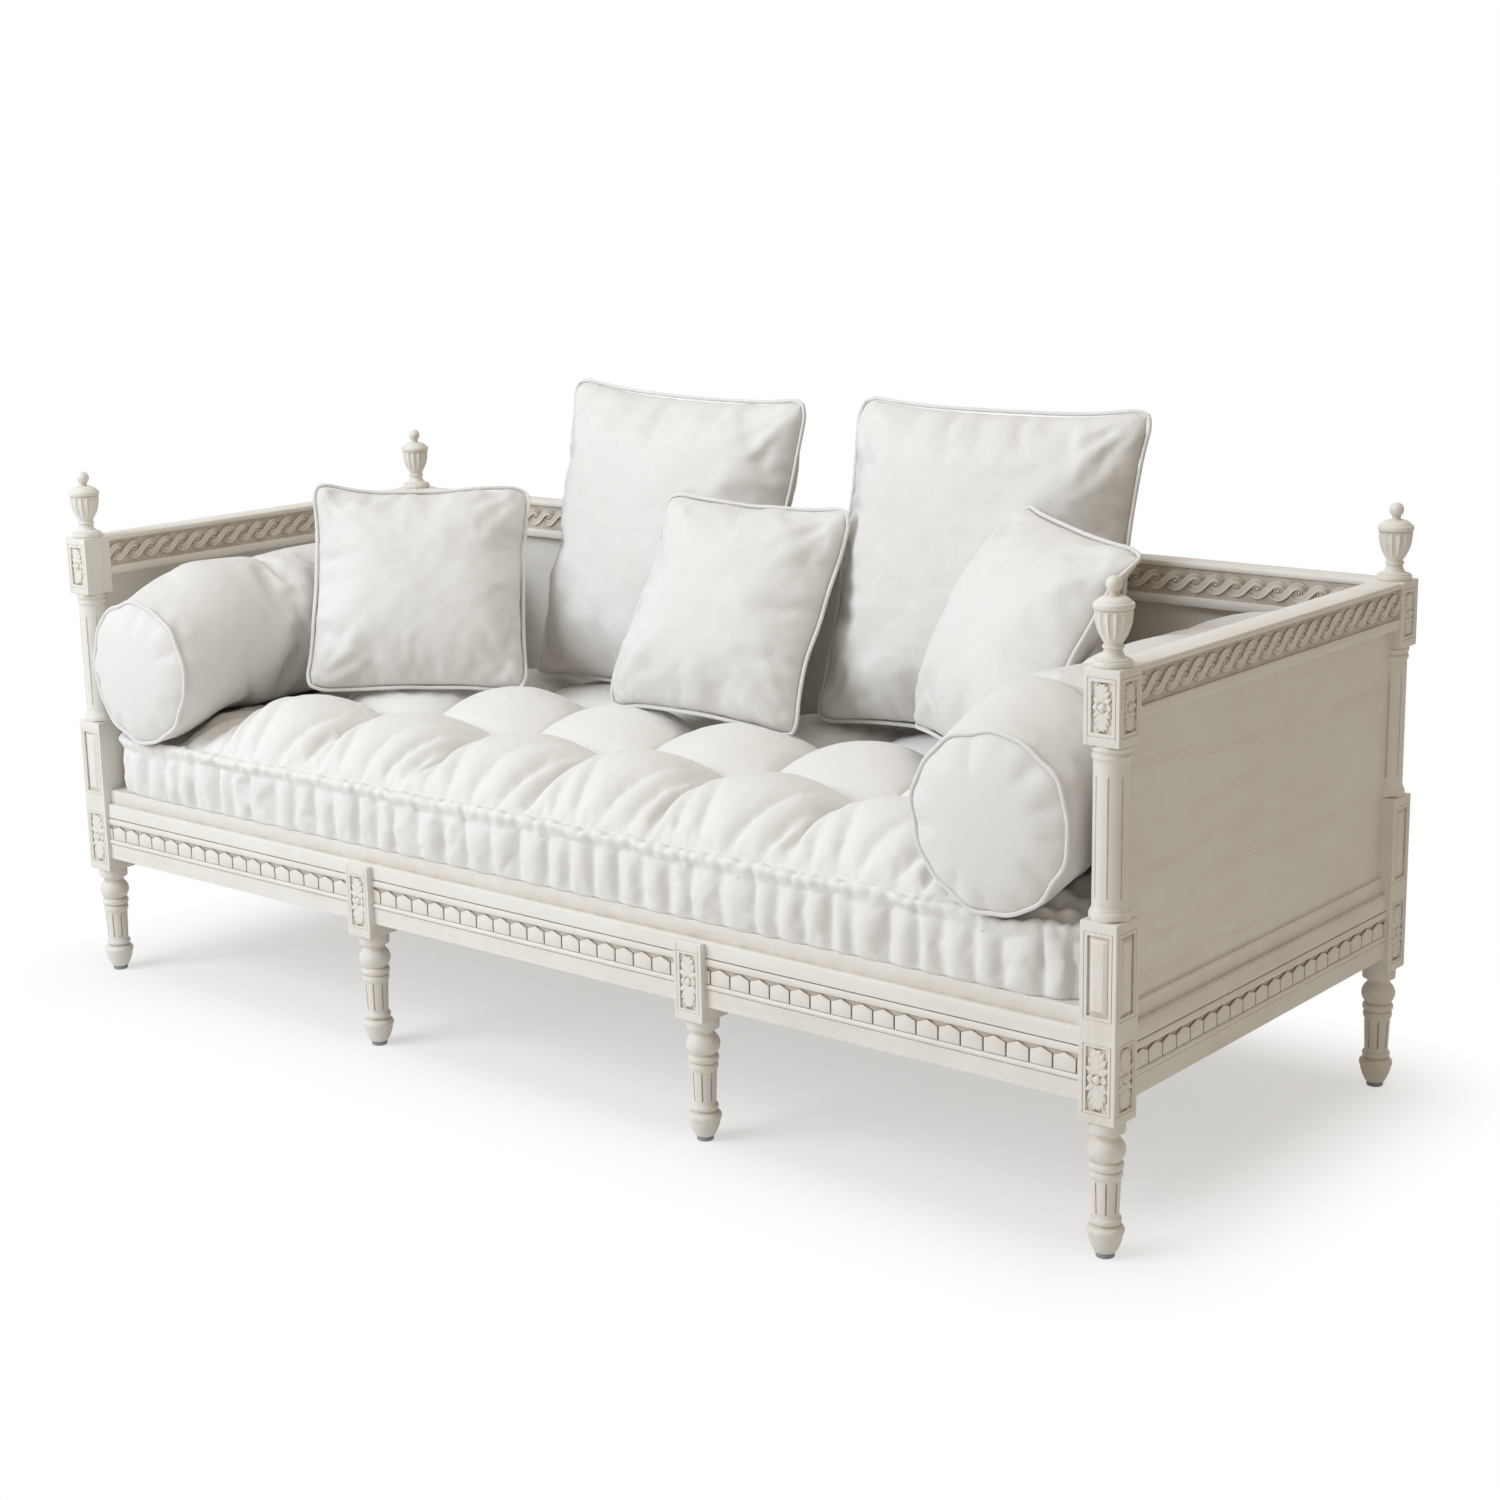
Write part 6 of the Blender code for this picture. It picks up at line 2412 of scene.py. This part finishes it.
    def outward(self, rim: np.ndarray) -> np.ndarray:
        """Gives the unit way out of the mattress at each border point.

        Args:
            rim: Border points in order.

        Returns:
            One way x and y for each.
        """
        ahead = np.roll(rim, -2, axis=0) - np.roll(rim, 2, axis=0)
        out = np.stack([ahead[:, 1], -ahead[:, 0]], axis=1)
        return out / np.linalg.norm(out, axis=1, keepdims=True)

    def along_ring(
        self, ring: np.ndarray, u: np.ndarray, v: np.ndarray, marks: list[np.ndarray], wide: float, deep: float
    ) -> tuple[np.ndarray, np.ndarray, np.ndarray]:
        """Works out the lumps, the gathers and the stitched points along the border.

        Args:
            ring: Border corners in order.
            u: Places across the top.
            v: Places up the top.
            marks: Stitch marks of the four sides.
            wide: Length of a long side.
            deep: Length of a short side.

        Returns:
            Lump and gather, from 0 to 1, and which border points are stitched.
        """
        ru, rv = u.reshape(-1)[ring], v.reshape(-1)[ring]
        lump, bulge, pinned = np.zeros(len(ring)), np.zeros(len(ring)), np.zeros(len(ring), bool)
        sides = [
            (rv < 1e-9, ru * wide),
            ((ru > 1.0 - 1e-9) & (rv > 1e-9), rv * deep),
            ((rv > 1.0 - 1e-9) & (ru < 1.0 - 1e-9), (1.0 - ru) * wide),
            ((ru < 1e-9) & (rv < 1.0 - 1e-9) & (rv > 1e-9), (1.0 - rv) * deep),
        ]
        for (on, place), stops in zip(sides, marks):
            fine = np.sort(np.concatenate([stops, 0.5 * (stops[1:] + stops[:-1]) + 0.006]))
            bulge[on] = self.between(place[on], stops)
            lump[on] = self.between(place[on], np.clip(fine, 0.0, stops[-1] + 1e-6))
            nearest = np.abs(place[on][:, None] - stops[None, :]).argmin(axis=0)
            hit = np.zeros(on.sum(), bool)
            hit[nearest] = True
            pinned[np.nonzero(on)[0]] |= hit
        return lump, bulge, pinned

    def pressed(self, points: np.ndarray, resting: BVHTree, sliding: BVHTree) -> np.ndarray:
        """Pushes the mattress down under what lies on it.

        Args:
            points: The mattress's points.
            resting: Search tree of the cushions.
            sliding: Search tree of those that pull forwards.

        Returns:
            The points, none inside a cushion.
        """
        points = points.copy()
        cell = np.round((points[:, :2] - points[:, :2].min(axis=0)) / 0.012).astype(int) + 1
        tops = np.full(cell.max(axis=0) + 2, self.foot + 0.02)
        np.maximum.at(tops, (cell[:, 0], cell[:, 1]), points[:, 2])
        around = [np.roll(tops, (i, j), axis=(0, 1)) for i in (-1, 0, 1) for j in (-1, 0, 1)]
        high = np.max(around, axis=0)[cell[:, 0], cell[:, 1]] - self.foot
        n = self.near
        beside = ((0.0, 0.0), (n, 0.0), (-n, 0.0), (0.0, n), (0.0, -n))
        pulls = np.linspace(0.1 * self.pull, self.pull, 10).tolist()
        for number, (x, y, z) in enumerate(points.tolist()):
            casts = [(resting, x + i, y + j) for i, j in beside]
            if abs(x) > self.half_x - 0.30:
                casts += [(sliding, x, y + pull) for pull in pulls]
            hits = [tree.ray_cast((cx, cy, self.foot - 0.05), (0.0, 0.0, 1.0))[0] for tree, cx, cy in casts]
            least = min((hit.z for hit in hits if hit is not None), default=9.0) - self.clear - self.foot
            if least < high[number]:
                points[number, 2] = self.foot + (z - self.foot) * max(0.03, least) / high[number]
        return points

    def threads(
        self,
        points: np.ndarray,
        number: np.ndarray,
        top: int,
        count: int,
        pinned: np.ndarray,
        thread: bpy.types.Material,
        tree: bpy.types.NodeTree,
    ) -> bpy.types.Object:
        """Lays a stitch over the roll at each stitched place.

        Args:
            points: The mattress's points.
            number: Point number of each sheet corner.
            top: How many corners the top sheet has.
            count: How many border points there are.
            pinned: Which border points are stitched.
            thread: The stitches' finish.
            tree: The stitch tree.

        Returns:
            The stitches as one object.
        """
        upper = points[number[top : top + count]]
        lower = points[number[top + 6 * (count + 1) : top + 6 * (count + 1) + count]]
        spots, turns = [], []
        for k in np.nonzero(pinned)[0]:
            for row in (upper, lower):
                ahead = row[(k + 1) % count] - row[k - 1]
                spots.append(tuple(row[k] + np.array((0.0, 0.0, 0.0004))))
                pitch = -math.atan2(ahead[2], math.hypot(ahead[0], ahead[1]))
                turns.append((0.0, pitch, math.atan2(ahead[1], ahead[0])))
        base = bpy.data.meshes.new("stitch_points")
        base.from_pydata(spots, [], [])
        layer = base.attributes.new("turn", "FLOAT_VECTOR", "POINT")
        layer.data.foreach_set("vector", np.array(turns, np.float32).ravel())
        mesh = through_nodes(tree, {"Length": 0.0042, "Radius": 0.0009, "Finish": thread}, base)
        mesh.name = "mattress_stitches"
        return linked("mattress_stitches", mesh)


# ---------------------------------------------------------------- studio


def seen_rays(board: NodeBoard) -> bpy.types.NodeSocket:
    """Tells the rays that see plain white from those that bring light.

    Args:
        board: The material's or the world's board.

    Returns:
        1 for rays from the camera, mirrored or passed through, else 0.
    """
    path = board.add("ShaderNodeLightPath").outputs
    mirrored = board.math("MAXIMUM", path["Is Camera Ray"], path["Is Glossy Ray"])
    return board.math("MAXIMUM", mirrored, path["Is Transmission Ray"])


@dataclass
class Studio:
    """The pale floor, the soft light and the camera at the photograph's angle."""

    azimuth: float = 39.5173
    elevation: float = 13.0804
    roll: float = -1.1121
    eye: tuple[float, float, float] = (2.6942, -3.1110, 1.4261)
    focal_px: float = 2555.53
    frame_px: float = 1500.0
    shaded_half: tuple[float, float] = (0.98, 0.34)
    fade: float = 0.32
    white_near: float = 0.52

    def build(self) -> None:
        """Sets up camera, floor, lamps and world."""
        self.camera()
        self.floor()
        self.lights()
        bpy.context.scene.view_settings.view_transform = "Standard"

    def camera(self) -> None:
        """Makes the camera."""
        a, e, r = (math.radians(v) for v in (self.azimuth, self.elevation, self.roll))
        back = Vector((math.sin(a) * math.cos(e), -math.cos(a) * math.cos(e), math.sin(e)))
        right = (-back).cross(Vector((0.0, 0.0, 1.0))).normalized()
        up = right.cross(-back)
        rolled = right * math.cos(r) + up * math.sin(r)
        raised = up * math.cos(r) - right * math.sin(r)
        data = bpy.data.cameras.new("photo_camera")
        data.sensor_fit = "HORIZONTAL"
        data.sensor_width = 36.0
        data.lens = self.focal_px * 36.0 / self.frame_px
        data.clip_end = 200.0
        camera = linked("photo_camera", data)
        turn = Matrix((rolled, raised, back)).transposed().to_4x4()
        camera.matrix_world = Matrix.Translation(self.eye) @ turn
        bpy.context.scene.camera = camera

    def floor(self) -> None:
        """Makes the floor, white far off and shaded near the sofa."""
        mesh = bpy.data.meshes.new("studio_floor")
        mesh.from_pydata([(-40, -40, 0), (40, -40, 0), (40, 40, 0), (-40, 40, 0)], [], [(0, 1, 2, 3)])
        material, board = new_material("studio_floor")
        place = board.add("ShaderNodeTexCoord").outputs["Object"]
        folded = board.add("ShaderNodeVectorMath", {0: place}, operation="ABSOLUTE").outputs[0]
        shaded = (*self.shaded_half, 0.0)
        past = board.add("ShaderNodeVectorMath", {0: folded, 1: shaded}, operation="SUBTRACT").outputs[0]
        outside = board.add("ShaderNodeVectorMath", {0: past, 1: (0.0, 0.0, 0.0)}, operation="MAXIMUM").outputs[0]
        away = board.add("ShaderNodeVectorMath", {0: outside}, operation="LENGTH").outputs["Value"]
        limits = {0: away, 1: 0.0, 2: self.fade, 3: self.white_near, 4: 1.0}
        far = board.add("ShaderNodeMapRange", limits, interpolation_type="SMOOTHSTEP").outputs[0]
        near = board.add(
            "ShaderNodeBsdfPrincipled",
            {"Base Color": (0.90, 0.895, 0.89, 1.0), "Roughness": 0.9, "Specular IOR Level": 0.0},
        )
        white = board.add("ShaderNodeEmission", {"Color": (1.0, 1.0, 1.0, 1.0), "Strength": 1.0})
        share = board.math("MULTIPLY", far, seen_rays(board))
        mixed = board.add("ShaderNodeMixShader", {0: share, 1: near.outputs[0], 2: white.outputs[0]})
        board.add("ShaderNodeOutputMaterial", {0: mixed.outputs[0]})
        mesh.materials.append(material)
        linked("studio_floor", mesh)

    def lights(self) -> None:
        """Makes the two softboxes and the world's warm fill."""
        for name, place, size, power, colour in (
            ("key_softbox", (-2.4, -4.6, 4.0), 3.6, 290.0, (0.812, 0.898, 1.0)),
            ("top_softbox", (0.4, -0.4, 5.0), 3.0, 62.0, (0.95, 0.97, 1.0)),
        ):
            data = bpy.data.lights.new(name, "AREA")
            data.size = size
            data.energy = power
            data.color = colour
            lamp = linked(name, data)
            lamp.location = place
            aim = Vector((0.0, 0.0, 0.45)) - Vector(place)
            lamp.rotation_euler = aim.to_track_quat("-Z", "Y").to_euler()
        world = bpy.data.worlds.new("studio_world")
        world.use_nodes = True
        bpy.context.scene.world = world
        board = NodeBoard(world.node_tree)
        fill = board.add("ShaderNodeBackground", {"Color": (1.0, 0.872, 0.670, 1.0), "Strength": 0.378})
        white = board.add("ShaderNodeBackground", {"Color": (1.0, 1.0, 1.0, 1.0), "Strength": 1.0})
        mixed = board.add("ShaderNodeMixShader", {0: seen_rays(board), 1: fill.outputs[0], 2: white.outputs[0]})
        board.add("ShaderNodeOutputWorld", {0: mixed.outputs[0]})


# ---------------------------------------------------------------- main


def build_soft_goods(rails: list[bpy.types.Object]) -> None:
    """Makes the cushions, then the mattress that they press on.

    Args:
        rails: The top rails that the pillows lean on.
    """
    cotton = CottonCloth("cushion_cotton").material()
    ticking = CottonCloth("mattress_cotton", (0.785, 0.765, 0.742), (0.680, 0.640, 0.570), 1000.0).material()
    thread = CottonCloth("stitching_thread", colour=(0.72, 0.70, 0.65), threads=2400.0).material()
    piping = piping_tree()
    bolsters = Bolster("bolster_left", (-0.8845, -0.0458, 0.615), 3).build(cotton, piping)
    bolsters += Bolster("bolster_right", (0.8845, -0.0458, 0.615), 4).build(cotton, piping)
    pillows = [
        SquarePillow("pillow_large_left", 0.560, 0.190, (-0.2755, 0.2711, 0.7609), -2.0, 13.0, 1.5, 5),
        SquarePillow("pillow_large_right", 0.560, 0.190, (0.3911, 0.2709, 0.7666), 4.0, 13.0, 0.5, 6),
        SquarePillow("pillow_small_left", 0.400, 0.135, (-0.6189, -0.0093, 0.6881), 40.0, 29.0, 0.7, 7),
        SquarePillow("pillow_small_mid", 0.400, 0.135, (0.0024, 0.1001, 0.6925), 3.0, 29.0, 1.3, 8),
        SquarePillow("pillow_small_right", 0.400, 0.135, (0.6130, 0.0360, 0.7169), -30.0, 29.0, 3.6, 9),
    ]
    made = list(bolsters)
    for pillow in pillows:
        made += pillow.build(cotton, piping, tree_of(rails + made))
    TuftedMattress().build(ticking, thread, stitch_tree(), tree_of(made), tree_of(bolsters))


def main() -> None:
    """Builds the sofa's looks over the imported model, in order."""
    logging.basicConfig(level=logging.INFO, format="%(name)s %(message)s")
    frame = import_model()
    Studio().build()
    paints = Paints(
        PaintedWood("ivory_upright", Grain.ALONG_Z).material(),
        PaintedWood("ivory_across", Grain.ALONG_X).material(),
        PaintedWood("ivory_deep", Grain.ALONG_Y).material(),
    )
    plastic = MouldedPlastic().material()
    tree = row_of_units_tree()
    TurnedFeet().build(paints, plastic)
    CornerPosts().build(paints)
    SeatRails().build(paints, tree)
    rails = TopRails().build(paints, tree)
    dress_carried_nodes(frame["nodes"], paints)
    build_soft_goods(rails)


if __name__ == "__main__":
    main()
